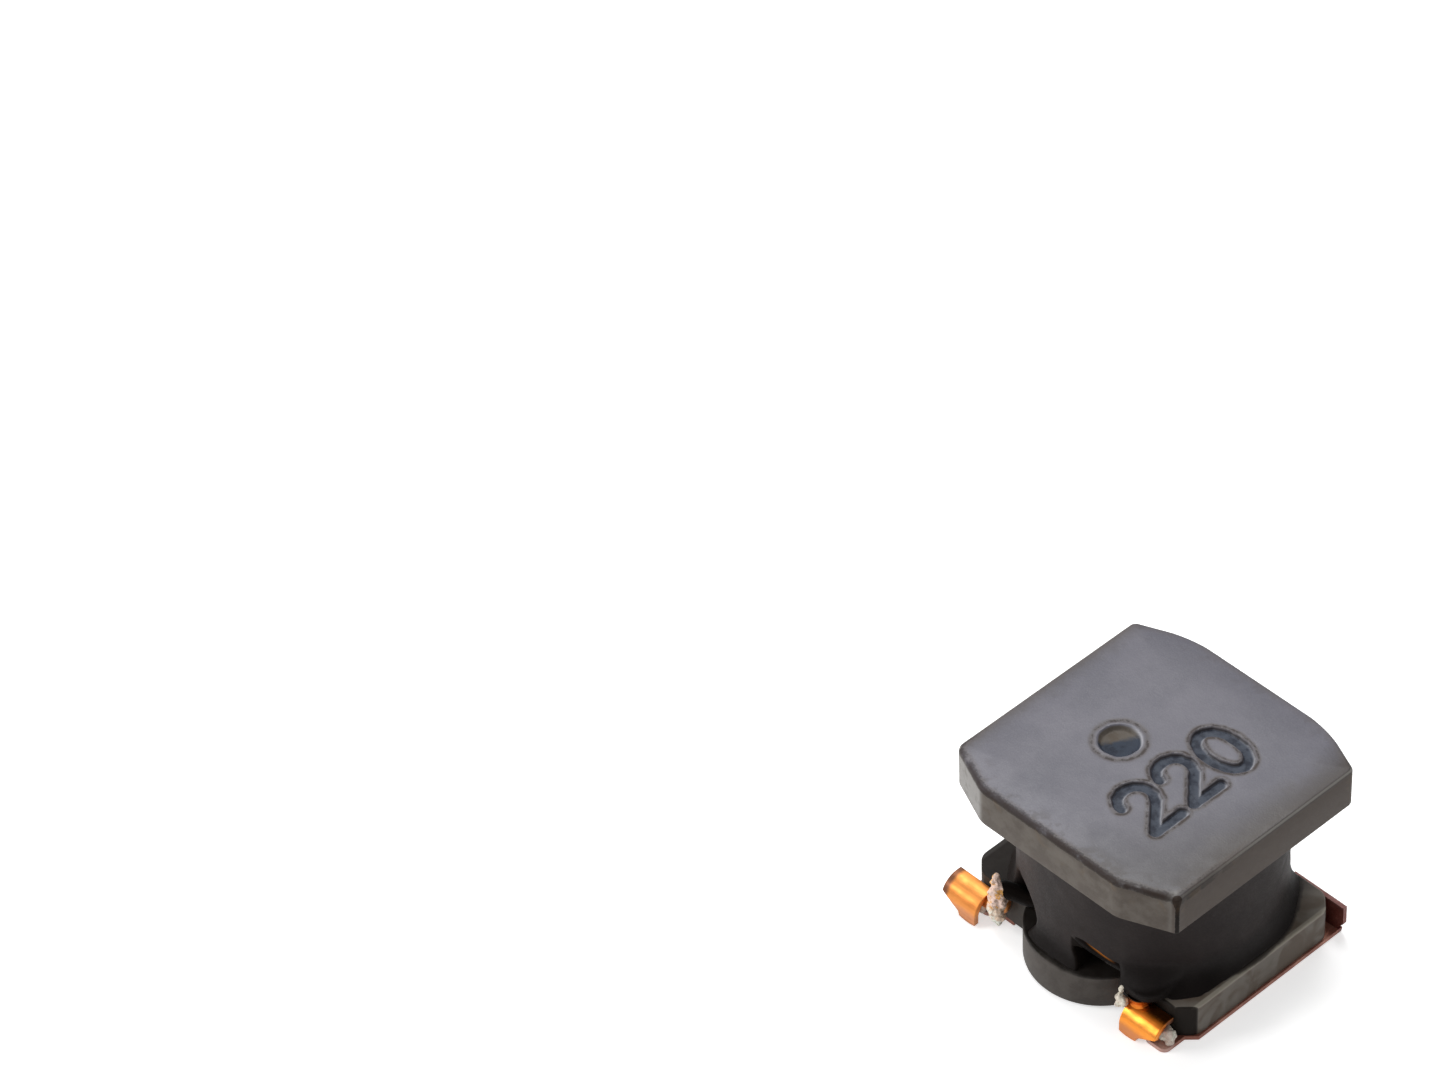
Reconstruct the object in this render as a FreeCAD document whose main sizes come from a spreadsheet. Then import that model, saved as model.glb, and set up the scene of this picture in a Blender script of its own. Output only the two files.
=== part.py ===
import FreeCAD, Part
import math
import os
import Sketcher

# Semi-shielded power inductor for surface mounting, in millimetres.
# X runs across the two terminals, -Y is the side where both wire ends leave, +Z is up.
# The origin is the middle of the footprint on the board.

os.makedirs("parts", exist_ok=True)
Vector = FreeCAD.Vector
doc = FreeCAD.newDocument("power_inductor")

# Driving dimensions

sizes = doc.addObject("Spreadsheet::Sheet", "Sizes")
driving = [
    ("case_length", 6.0, "upper flange, along X"),
    ("case_width", 6.0, "upper flange, along Y"),
    ("case_height", 4.4, "board to top face"),
    ("top_thickness", 0.96, "upper flange"),
    ("top_corner_x", 1.16, "corner cut of the upper flange, along X"),
    ("top_corner_y", 0.50, "corner cut of the upper flange, along Y"),
    ("top_round", 0.09, "edge rounding of the upper flange"),
    ("side_round", 0.45, "upright rounding where a corner cut meets the front or back"),
    ("end_round", 0.08, "upright rounding where a corner cut meets the left or right"),
    ("corner_round", 0.14, "upright rounding of the lower flange and of the resin's boot"),
    ("base_length", 6.0, "lower flange, along X"),
    ("base_width", 4.4, "lower flange between its two wire recesses"),
    ("base_thickness", 0.85, "lower flange"),
    ("base_corner", 0.35, "corner cut of the lower flange"),
    ("base_round", 0.05, "edge rounding of the lower flange"),
    ("lobe_radius", 1.56, "round lobe between the wire recesses"),
    ("lobe_reach", 3.05, "lobe tip from the middle"),
    ("post_diameter", 3.0, "winding post"),
    ("dimple_diameter", 0.86, "pin-one dimple"),
    ("dimple_depth", 0.13, "pin-one dimple"),
    ("dimple_back", 0.86, "dimple from the middle, towards -X"),
    ("dimple_side", 0.12, "dimple from the middle, towards -Y"),
    ("wire_diameter", 0.38, "enamelled copper wire"),
    ("turn_bond", 0.01, "neighbouring turns melt into each other by this"),
    ("winding_gap", 0.02, "running room of the wire to the ferrite"),
    ("shield_diameter", 5.5, "magnetic resin"),
    ("foot_diameter", 5.96, "resin where it wets the lower flange"),
    ("foot_edge", 0.08, "resin thickness at the foot's edge"),
    ("collar", 0.12, "resin bevel under the upper flange"),
    ("shield_gap", 0.02, "resin bore to the winding"),
    ("window_start", 0.30, "wire window, its closed end along X"),
    ("window_peak", 0.70, "wire window, its tallest place along X"),
    ("window_height", 0.50, "wire window at its tallest place"),
    ("window_low", 0.22, "wire window at its end"),
    ("window_back", 2.32, "back wall of the wire window from the middle"),
    ("boot_width", 0.86, "resin boot around the right lead"),
    ("boot_depth", 0.42, "resin boot, out from the recess face"),
    ("boot_drop", 0.14, "resin boot below the flange's top"),
    ("boot_rise", 0.50, "resin boot above the flange's top"),
    ("hollow_side", 1.42, "hollow at the left lead, from the middle towards -X"),
    ("hollow_front", 2.62, "hollow at the left lead, from the middle towards -Y"),
    ("hollow_level", 0.22, "middle of the hollow above the flange's top"),
    ("hollow_radius", 0.66, "hollow at the left lead"),
    ("lead_inset", 1.08, "wire ends from the flange's side, along X"),
    ("lead_gap", 0.03, "wire ends to the recess face"),
    ("lead_bend", 0.24, "bend radius of the wire ends"),
    ("lead_sink", 0.55, "share of its run over which the right end sinks to the flange"),
    ("ribbon_length", 0.94, "pressed end of the wire, along X"),
    ("ribbon_thickness", 0.12, "pressed end of the wire"),
    ("ribbon_radius", 0.45, "outer bend of the pressed end"),
    ("ribbon_height", 0.62, "pressed end above the board"),
    ("ribbon_inset_right", 0.30, "right pressed end stops short of the flange's side"),
    ("ribbon_beyond_left", 0.20, "left pressed end passes the flange's side"),
    ("skirt_rise", 0.26, "the bent foot rises by this towards its far end"),
    ("tongue_width", 0.46, "tail of the pressed end"),
    ("tongue_clearance", 0.02, "tail above the board"),
    ("strip_width", 1.30, "terminal strip under the flange"),
    ("strip_thickness", 0.10, "terminal strip"),
    ("strip_overhang", 0.04, "terminal strip beyond the flange's side"),
    ("groove_depth", 0.05, "seat of the strip in the flange"),
    ("groove_gap", 0.02, "strip to the groove's walls"),
    ("heel_height", 0.76, "upturned end of the strip"),
    ("heel_gap", 0.02, "upturned end to the recess face"),
    ("heel_flare", 0.10, "upturned end beyond the strip's outer edge"),
    ("heel_cut", 0.24, "slanted lower corner of the upturned end"),
    ("strip_bend", 0.07, "outer bend of the strip"),
    ("toe_width", 0.60, "tab of the strip below the pressed end"),
    ("toe_round", 0.16, "rounding of the tab's corners"),
    ("toe_right", 0.42, "right tab, out from the recess face"),
    ("toe_left", 0.20, "left tab, out from the recess face"),
    ("toe_inset", 0.20, "tab from the strip's outer edge"),
    ("solder_radius", 0.24, "solder mound under the pressed end"),
    ("solder_height", 0.36, "solder mound above the strip"),
    ("flux_radius", 0.17, "flux crust beside the right lead"),
    ("flux_height", 0.33, "flux crust beside the right lead"),
    ("lump_radius", 0.20, "flux lump on the left lead"),
    ("lump_height", 0.64, "flux lump on the left lead"),
]
for row, (alias, value, meaning) in enumerate(driving, start=1):
    sizes.set(f"A{row}", meaning)
    sizes.set(f"B{row}", str(value))
    sizes.setAlias(f"B{row}", alias)
doc.recompute()
size = {alias: float(sizes.get(alias)) for alias, value, meaning in driving}

# Heights and places that several pieces share, as formulas on the sheet

flange_bottom = "(Sizes.strip_thickness - Sizes.groove_depth)"
flange_top = f"({flange_bottom} + Sizes.base_thickness)"
upper_bottom = "(Sizes.case_height - Sizes.top_thickness)"
recess_face = "(Sizes.base_width / 2)"
strip_outer = "(Sizes.base_length / 2 + Sizes.strip_overhang)"
strip_inner = f"({strip_outer} - Sizes.strip_width)"
heel_face = f"({recess_face} + Sizes.heel_gap)"
layer_pitch = "(Sizes.wire_diameter - Sizes.turn_bond)"
inner_layer = "(Sizes.post_diameter / 2 + Sizes.winding_gap + Sizes.wire_diameter / 2)"
outer_layer = f"({inner_layer} + {layer_pitch})"
first_turn = f"({flange_top} + Sizes.winding_gap + Sizes.wire_diameter / 2)"
winding_room = f"({upper_bottom} - {flange_top} - 2 * Sizes.winding_gap - Sizes.wire_diameter)"
turns = f"(floor({winding_room} / {layer_pitch}) + 1)"
lead_exit = "(Sizes.base_length / 2 - Sizes.lead_inset)"
shield_bore = f"({outer_layer} + Sizes.wire_diameter / 2 + Sizes.shield_gap)"
flare = "((Sizes.foot_diameter - Sizes.shield_diameter) / 2)"

origin_point = (-1, 1)
level_axis, upright_axis = (-1, -2)


def origin_part(body, role):
    for feature in body.Origin.OriginFeatures:
        if feature.Role == role:
            return feature
    raise ValueError(role)


def new_body(name):
    body = doc.addObject("PartDesign::Body", name)
    body.Label = name
    return body


def new_sketch(body, name, role, offset=None):
    sketch = body.newObject("Sketcher::SketchObject", name)
    sketch.AttachmentSupport = [(origin_part(body, role), "")]
    sketch.MapMode = "FlatFace"
    if offset:
        sketch.setExpression("AttachmentOffset.Base.z", offset)
    return sketch


def drive(sketch, kind, first, second, formula):
    # A named distance between two points; the second lies to the right of or above the first.
    start, end = sketch.getPoint(*first), sketch.getPoint(*second)
    span = end.x - start.x if kind == "DistanceX" else end.y - start.y
    index = sketch.addConstraint(Sketcher.Constraint(kind, *first, *second, span))
    sketch.setExpression(f"Constraints[{index}]", formula)


def closed_outline(sketch, corners):
    lines = []
    for start, end in zip(corners, corners[1:] + corners[:1]):
        lines.append(sketch.addGeometry(Part.LineSegment(Vector(*start, 0), Vector(*end, 0))))
    for line, following in zip(lines, lines[1:] + lines[:1]):
        sketch.addConstraint(Sketcher.Constraint("Coincident", line, 2, following, 1))
    return lines


def cut_corner_rectangle(sketch, half_x, half_y, cut_x, cut_y, guess):
    # A rectangle about the origin with its four corners cut off.
    gx, gy, gcx, gcy = guess
    corners = [(-gx + gcx, -gy), (gx - gcx, -gy), (gx, -gy + gcy), (gx, gy - gcy),
               (gx - gcx, gy), (-gx + gcx, gy), (-gx, gy - gcy), (-gx, -gy + gcy)]
    lines = closed_outline(sketch, corners)
    front, right, back, left = lines[0], lines[2], lines[4], lines[6]
    for side in (front, back):
        sketch.addConstraint(Sketcher.Constraint("Symmetric", side, 1, side, 2, upright_axis))
    for side in (right, left):
        sketch.addConstraint(Sketcher.Constraint("Symmetric", side, 1, side, 2, level_axis))
    sketch.addConstraint(Sketcher.Constraint("Equal", front, back))
    sketch.addConstraint(Sketcher.Constraint("Equal", right, left))
    drive(sketch, "DistanceX", origin_point, (right, 1), half_x)
    drive(sketch, "DistanceX", (left, 1), origin_point, half_x)
    drive(sketch, "DistanceY", origin_point, (back, 1), half_y)
    drive(sketch, "DistanceY", (front, 1), origin_point, half_y)
    drive(sketch, "DistanceX", (front, 1), (front, 2), f"2 * ({half_x} - {cut_x})")
    drive(sketch, "DistanceY", (right, 1), (right, 2), f"2 * ({half_y} - {cut_y})")


def rectangle(sketch, left, right, bottom, top, guess):
    # Left and right lie beyond the origin along the sketch's x; bottom and top are formulas too.
    x0, x1, y0, y1 = guess
    lines = closed_outline(sketch, [(x0, y0), (x1, y0), (x1, y1), (x0, y1)])
    for index in (0, 2):
        sketch.addConstraint(Sketcher.Constraint("Horizontal", lines[index]))
    for index in (1, 3):
        sketch.addConstraint(Sketcher.Constraint("Vertical", lines[index]))
    place(sketch, "DistanceX", (lines[0], 1), left)
    place(sketch, "DistanceX", (lines[0], 2), right)
    place(sketch, "DistanceY", (lines[0], 1), bottom)
    place(sketch, "DistanceY", (lines[2], 1), top)


def place(sketch, kind, point, formula):
    # The formula is the point's distance from the origin; its side is that of the drawn point.
    where = sketch.getPoint(*point)
    ahead = (where.x if kind == "DistanceX" else where.y) > 0
    if ahead:
        drive(sketch, kind, origin_point, point, formula)
    else:
        drive(sketch, kind, point, origin_point, formula)


def circle(sketch, back, radius, guess_back, guess_radius):
    # A circle on the sketch's y axis, its centre below the origin by "back".
    ring = sketch.addGeometry(Part.Circle(Vector(0, -guess_back, 0), Vector(0, 0, 1), guess_radius))
    if back:
        sketch.addConstraint(Sketcher.Constraint("PointOnObject", ring, 3, upright_axis))
        drive(sketch, "DistanceY", (ring, 3), origin_point, back)
    else:
        sketch.addConstraint(Sketcher.Constraint("Coincident", ring, 3, *origin_point))
    index = sketch.addConstraint(Sketcher.Constraint("Radius", ring, guess_radius))
    sketch.setExpression(f"Constraints[{index}]", radius)


def pad(body, name, sketch, length, down=False):
    feature = body.newObject("PartDesign::Pad", name)
    feature.Profile = sketch
    feature.Reversed = down
    feature.setExpression("Length", length)
    return feature


def pocket(body, name, sketch, depth, up=False):
    feature = body.newObject("PartDesign::Pocket", name)
    feature.Profile = sketch
    feature.Reversed = up
    feature.setExpression("Length", depth)
    return feature


def revolve(body, name, sketch):
    feature = body.newObject("PartDesign::Revolution", name)
    feature.Profile = sketch
    feature.ReferenceAxis = (sketch, ["V_Axis"])
    feature.Angle = 360
    doc.recompute()
    return feature


def checked_cut(body, feature):
    # A pocket that points away from the solid removes nothing, so the volume has to fall.
    before = feature.BaseFeature.Shape.Volume
    doc.recompute()
    if feature.Shape.Volume > before - 1e-6:
        raise ValueError(f"{feature.Name} removes nothing from {body.Name}")


def edges_where(shape, wanted):
    return [f"Edge{index}" for index, edge in enumerate(shape.Edges, start=1) if wanted(edge)]


def round_edges(body, name, base, wanted, radius):
    doc.recompute()
    feature = body.newObject("PartDesign::Fillet", name)
    feature.Base = (base, edges_where(base.Shape, wanted))
    feature.setExpression("Radius", radius)
    return feature


def level_at(edge, height):
    box = edge.BoundBox
    return abs(box.ZMin - height) < 1e-4 and abs(box.ZMax - height) < 1e-4


def upright(edge):
    return edge.Curve.TypeId == "Part::GeomLine" and abs(edge.tangentAt(edge.FirstParameter).z) > 0.999


def full_circle(edge):
    return edge.Curve.TypeId == "Part::GeomCircle" and edge.Closed


def box(name, corner, lengths):
    block = doc.addObject("Part::Box", name)
    for axis, formula in zip("xyz", corner):
        block.setExpression(f"Placement.Base.{axis}", formula)
    for edge, formula in zip(("Length", "Width", "Height"), lengths):
        block.setExpression(edge, formula)
    return block


def mound(name, foot, radius, height):
    # A blunt cone that stands on its foot's middle.
    cone = doc.addObject("Part::Cone", name)
    cone.setExpression("Radius1", radius)
    cone.setExpression("Radius2", f"{radius} * 0.55")
    cone.setExpression("Height", height)
    for axis, formula in zip("xyz", foot):
        cone.setExpression(f"Placement.Base.{axis}", formula)
    return cone


def fuse(name, shapes):
    joined = doc.addObject("Part::MultiFuse", name)
    joined.Shapes = shapes
    joined.Label = name
    return joined


def cut(name, base, tool):
    result = doc.addObject("Part::Cut", name)
    result.Base = base
    result.Tool = tool
    result.Refine = True
    result.Label = name
    return result


# Ferrite drum core: lower flange with lobes and wire recesses, post, upper flange


def make_drum_core():
    body = new_body("drum_core_body")

    outline = new_sketch(body, "base_outline", "XY_Plane", flange_bottom)
    half_x, half_y, corner = size["base_length"] / 2, size["base_width"] / 2, size["base_corner"]
    cut_corner_rectangle(outline, "Sizes.base_length / 2", recess_face,
                         "Sizes.base_corner", "Sizes.base_corner", (half_x, half_y, corner, corner))
    pad(body, "base_plate", outline, "Sizes.base_thickness")

    lobe_sketch = new_sketch(body, "lobe_outline", "XY_Plane", flange_bottom)
    circle(lobe_sketch, "Sizes.lobe_reach - Sizes.lobe_radius", "Sizes.lobe_radius",
           size["lobe_reach"] - size["lobe_radius"], size["lobe_radius"])
    lobe = pad(body, "front_lobe", lobe_sketch, "Sizes.base_thickness")
    doc.recompute()
    both_lobes = body.newObject("PartDesign::Mirrored", "back_lobe")
    both_lobes.Originals = [lobe]
    both_lobes.MirrorPlane = (origin_part(body, "XZ_Plane"), [""])
    body.Tip = both_lobes

    post_sketch = new_sketch(body, "post_outline", "XY_Plane", flange_bottom)
    circle(post_sketch, None, "Sizes.post_diameter / 2", 0, size["post_diameter"] / 2)
    pad(body, "post", post_sketch, f"{upper_bottom} - {flange_bottom} + Sizes.top_thickness / 2")

    top_sketch = new_sketch(body, "top_outline", "XY_Plane", upper_bottom)
    half_x, half_y = size["case_length"] / 2, size["case_width"] / 2
    cut_corner_rectangle(top_sketch, "Sizes.case_length / 2", "Sizes.case_width / 2",
                         "Sizes.top_corner_x", "Sizes.top_corner_y",
                         (half_x, half_y, size["top_corner_x"], size["top_corner_y"]))
    top_plate = pad(body, "top_plate", top_sketch, "Sizes.top_thickness")

    high = size["case_height"] - size["top_thickness"]
    side_corners = round_edges(body, "side_corners", top_plate,
                               lambda edge: upright(edge) and edge.BoundBox.ZMin > high - 1e-4 and
                               abs(edge.BoundBox.YMin) > half_y - 1e-4,
                               "Sizes.side_round")
    end_corners = round_edges(body, "end_corners", side_corners,
                              lambda edge: upright(edge) and edge.BoundBox.ZMin > high - 1e-4 and
                              abs(edge.BoundBox.XMin) > half_x - 1e-4,
                              "Sizes.end_round")
    low = size["strip_thickness"] - size["groove_depth"]
    base_corners = round_edges(body, "base_corners", end_corners,
                               lambda edge: upright(edge) and edge.BoundBox.ZMax < high and
                               abs(edge.valueAt(edge.FirstParameter).x) > size["lobe_radius"],
                               "Sizes.corner_round")
    top_rim = round_edges(body, "top_rim", base_corners,
                          lambda edge: level_at(edge, size["case_height"]), "Sizes.top_round")
    round_edges(body, "base_rim", top_rim,
                lambda edge: level_at(edge, low + size["base_thickness"]) and not full_circle(edge),
                "Sizes.base_round")
    doc.recompute()

    groove_sketch = new_sketch(body, "groove_outline", "XY_Plane", flange_bottom)
    wide = size["base_length"] / 2 + size["strip_overhang"]
    rectangle(groove_sketch, f"{strip_inner} - Sizes.groove_gap", f"{strip_outer} + Sizes.groove_gap",
              f"{recess_face} + Sizes.groove_gap", f"{recess_face} + Sizes.groove_gap",
              (wide - size["strip_width"], wide, -size["base_width"] / 2, size["base_width"] / 2))
    groove = pocket(body, "right_groove", groove_sketch, "Sizes.groove_depth", up=True)
    checked_cut(body, groove)
    grooves = body.newObject("PartDesign::Mirrored", "left_groove")
    grooves.Originals = [groove]
    grooves.MirrorPlane = (origin_part(body, "YZ_Plane"), [""])
    body.Tip = grooves

    bowl = body.newObject("PartDesign::SubtractiveSphere", "dimple")
    sphere_radius = "(Sizes.dimple_diameter ^ 2 / 4 + Sizes.dimple_depth ^ 2) / (2 * Sizes.dimple_depth)"
    bowl.setExpression("Radius", sphere_radius)
    bowl.setExpression("AttachmentOffset.Base.x", "-Sizes.dimple_back")
    bowl.setExpression("AttachmentOffset.Base.y", "-Sizes.dimple_side")
    bowl.setExpression("AttachmentOffset.Base.z", f"Sizes.case_height - Sizes.dimple_depth + {sphere_radius}")
    bowl.AttachmentSupport = [(origin_part(body, "XY_Plane"), "")]
    bowl.MapMode = "FlatFace"
    body.Tip = bowl
    return body


# Winding: two layers of bonded turns on the post, one wire end from each layer, both pressed flat


def round_route(points, radius):
    # Straight runs joined by arcs that touch both runs.
    edges = []
    start = points[0]
    for corner, following in zip(points[1:-1], points[2:]):
        before = (corner - start).normalize()
        after = (following - corner).normalize()
        reach = radius * math.tan(before.getAngle(after) / 2)
        entry = corner - before * reach
        leave = corner + after * reach
        towards = (after - before).normalize()
        centre_distance = math.hypot(radius, reach)
        middle = corner + towards * (centre_distance - radius)
        edges.append(Part.LineSegment(start, entry).toShape())
        edges.append(Part.Arc(entry, middle, leave).toShape())
        start = leave
    edges.append(Part.LineSegment(start, points[-1]).toShape())
    return Part.Wire(edges)


def round_wire(points, radius, diameter):
    route = round_route(points, radius)
    direction = (points[1] - points[0]).normalize()
    section = Part.Wire([Part.makeCircle(diameter / 2, points[0], direction)])
    return route.makePipeShell([section], True, True)


def tangent_point(exit_x, exit_y, radius, turn):
    # Where a straight wire from the exit touches a layer of that radius.
    angle = math.atan2(exit_y, exit_x) + turn * math.acos(radius / math.hypot(exit_x, exit_y))
    return radius * math.cos(angle), radius * math.sin(angle)


def pressed_ribbon(side, inner_end, face_y):
    # The pressed end lies flat beside the flange, bends down and ends in a narrow tail.
    outer = size["ribbon_radius"]
    inner = outer - size["ribbon_thickness"]
    axis_y = face_y - size["lead_gap"] - size["ribbon_thickness"]
    axis_z = size["ribbon_height"] - outer
    back_y = face_y - size["lead_gap"]

    def across(y, z):
        return Vector(side * inner_end, y, z)

    def quarter(radius):
        bend = radius * math.sqrt(0.5)
        return Part.Arc(across(axis_y, axis_z + radius), across(axis_y - bend, axis_z + bend),
                        across(axis_y - radius, axis_z)).toShape()

    def band(foot_z, width):
        outline = Part.Wire([
            Part.LineSegment(across(back_y, axis_z + outer), across(axis_y, axis_z + outer)).toShape(),
            quarter(outer),
            Part.LineSegment(across(axis_y - outer, axis_z), across(axis_y - outer, foot_z)).toShape(),
            Part.LineSegment(across(axis_y - outer, foot_z), across(axis_y - inner, foot_z)).toShape(),
            Part.LineSegment(across(axis_y - inner, foot_z), across(axis_y - inner, axis_z)).toShape(),
            quarter(inner),
            Part.LineSegment(across(axis_y, axis_z + inner), across(back_y, axis_z + inner)).toShape(),
            Part.LineSegment(across(back_y, axis_z + inner), across(back_y, axis_z + outer)).toShape()])
        return Part.Face(outline).extrude(Vector(side * width, 0, 0))

    skirt_foot = axis_z - size["ribbon_thickness"] / 4
    skirt = band(skirt_foot, size["ribbon_length"])
    tail = band(size["tongue_clearance"], size["tongue_width"])

    def before(along, z):
        return Vector(side * (inner_end + along), axis_y - 2 * outer, z)

    near, far = size["tongue_width"], size["ribbon_length"]
    beyond, head = far + inner, skirt_foot + size["skirt_rise"]
    slant = Part.Face(Part.makePolygon([before(near, skirt_foot), before(far, head), before(beyond, head),
                                        before(beyond, 0), before(near, 0), before(near, skirt_foot)]))
    return skirt.cut(slant.extrude(Vector(0, 2 * outer, 0))).fuse(tail)


def make_turns():
    # The stack has a straight bore; each outer turn shows as a bevelled round.
    body = new_body("coil_turns")
    section = new_sketch(body, "bonded_section", "XZ_Plane")
    wire = size["wire_diameter"]
    bore, low = size["post_diameter"] / 2, size["base_thickness"] + size["wire_diameter"] / 4
    rectangle(section,
              "Sizes.post_diameter / 2 + Sizes.winding_gap", f"{inner_layer} + Sizes.wire_diameter / 2",
              f"{flange_top} + Sizes.winding_gap",
              f"{first_turn} + ({turns} - 1) * {layer_pitch} + Sizes.wire_diameter / 2",
              (bore, bore + wire, low, low + 2 * wire))
    revolve(body, "inner_turns", section)

    ring = new_sketch(body, "turn_section", "XZ_Plane")
    back, flat = bore + wire, bore + 1.5 * wire
    bevel, front = flat + wire / 5, flat + wire / 2
    foot, heel = low + wire, low + 1.3 * wire
    knee, head = low + 1.7 * wire, low + 2 * wire
    corners = [(back, foot), (bevel, foot), (front, heel), (front, knee), (bevel, head), (back, head)]
    lines = closed_outline(ring, corners)
    for index in (0, 4):
        ring.addConstraint(Sketcher.Constraint("Horizontal", lines[index]))
    for index in (2, 5):
        ring.addConstraint(Sketcher.Constraint("Vertical", lines[index]))
    ring.addConstraint(Sketcher.Constraint("Vertical", lines[0], 2, lines[4], 1))
    middle = f"({first_turn} + {layer_pitch})"
    octagon_side = "Sizes.wire_diameter / 2 * tan(22.5)"
    place(ring, "DistanceX", (lines[0], 1), f"{inner_layer}")
    place(ring, "DistanceX", (lines[0], 2), f"{outer_layer} + {octagon_side}")
    place(ring, "DistanceX", (lines[2], 1), f"{outer_layer} + Sizes.wire_diameter / 2")
    place(ring, "DistanceY", (lines[0], 1), f"{middle} - Sizes.wire_diameter / 2")
    place(ring, "DistanceY", (lines[2], 1), f"{middle} - {octagon_side}")
    place(ring, "DistanceY", (lines[2], 2), f"{middle} + {octagon_side}")
    place(ring, "DistanceY", (lines[4], 1), f"{middle} + Sizes.wire_diameter / 2")
    turn = revolve(body, "outer_turn", ring)
    stack = body.newObject("PartDesign::LinearPattern", "outer_turns")
    stack.Originals = [turn]
    stack.Direction = (origin_part(body, "Z_Axis"), [""])
    stack.setExpression("Occurrences", f"{turns} - 1")
    stack.setExpression("Length", f"({turns} - 2) * {layer_pitch}")
    body.Tip = stack
    doc.recompute()
    return body


def make_wire_ends():
    diameter = size["wire_diameter"]
    top_of_base = size["strip_thickness"] - size["groove_depth"] + size["base_thickness"]
    low = top_of_base + size["winding_gap"] + diameter / 2
    pitch = diameter - size["turn_bond"]
    inner_radius = size["post_diameter"] / 2 + size["winding_gap"] + diameter / 2
    outer_radius = inner_radius + pitch
    face_y = -size["base_width"] / 2
    lead_y = face_y - size["lead_gap"] - diameter / 2
    side_x = size["base_length"] / 2
    exit_x = side_x - size["lead_inset"]
    ribbon_top = size["ribbon_height"]
    left_inner = side_x + size["ribbon_beyond_left"] - size["ribbon_length"]
    right_inner = side_x - size["ribbon_inset_right"] - size["ribbon_length"]

    # The inner layer's end leaves low on the left, dives into the recess and turns outwards.
    start_x, start_y = tangent_point(-exit_x, lead_y, inner_radius, 1)
    run_z = ribbon_top - size["ribbon_thickness"] - diameter / 2
    left_route = [Vector(start_x, start_y, low), Vector(-exit_x, lead_y, low),
                  Vector(-exit_x, lead_y, run_z),
                  Vector(-left_inner - diameter / 2, lead_y, run_z)]
    left_lead = round_wire(left_route, size["lead_bend"], diameter)
    left_ribbon = pressed_ribbon(-1, left_inner, face_y)

    # The outer layer's end sinks past the wire window, then drops onto the right pressed end.
    end_x, end_y = tangent_point(exit_x, lead_y, outer_radius, -1)
    sunk = size["lead_sink"]
    right_route = [Vector(end_x, end_y, low + pitch),
                   Vector(end_x + sunk * (exit_x - end_x), end_y + sunk * (lead_y - end_y), low),
                   Vector(exit_x, lead_y, low), Vector(exit_x, lead_y, top_of_base - diameter / 4)]
    right_lead = round_wire(right_route, size["lead_bend"], diameter)
    neck_top = Part.Wire([Part.makeCircle(diameter / 2, right_route[-1], Vector(0, 0, -1))])
    neck_foot = Part.Wire([Part.Ellipse(Vector(exit_x, lead_y, ribbon_top - size["ribbon_thickness"] * 0.8),
                                        diameter * 0.8, diameter / 2).toShape()])
    neck = Part.makeLoft([neck_top, neck_foot], True)
    right_ribbon = pressed_ribbon(1, right_inner, face_y)

    left_end = doc.addObject("Part::Feature", "left_wire_end")
    left_end.Shape = left_lead.fuse([left_ribbon]).removeSplitter()
    right_end = doc.addObject("Part::Feature", "right_wire_end")
    right_end.Shape = right_lead.fuse([neck, right_ribbon]).removeSplitter()
    return left_end, right_end


# Magnetic resin: a flared ring between the flanges, open where the wire ends leave


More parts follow.
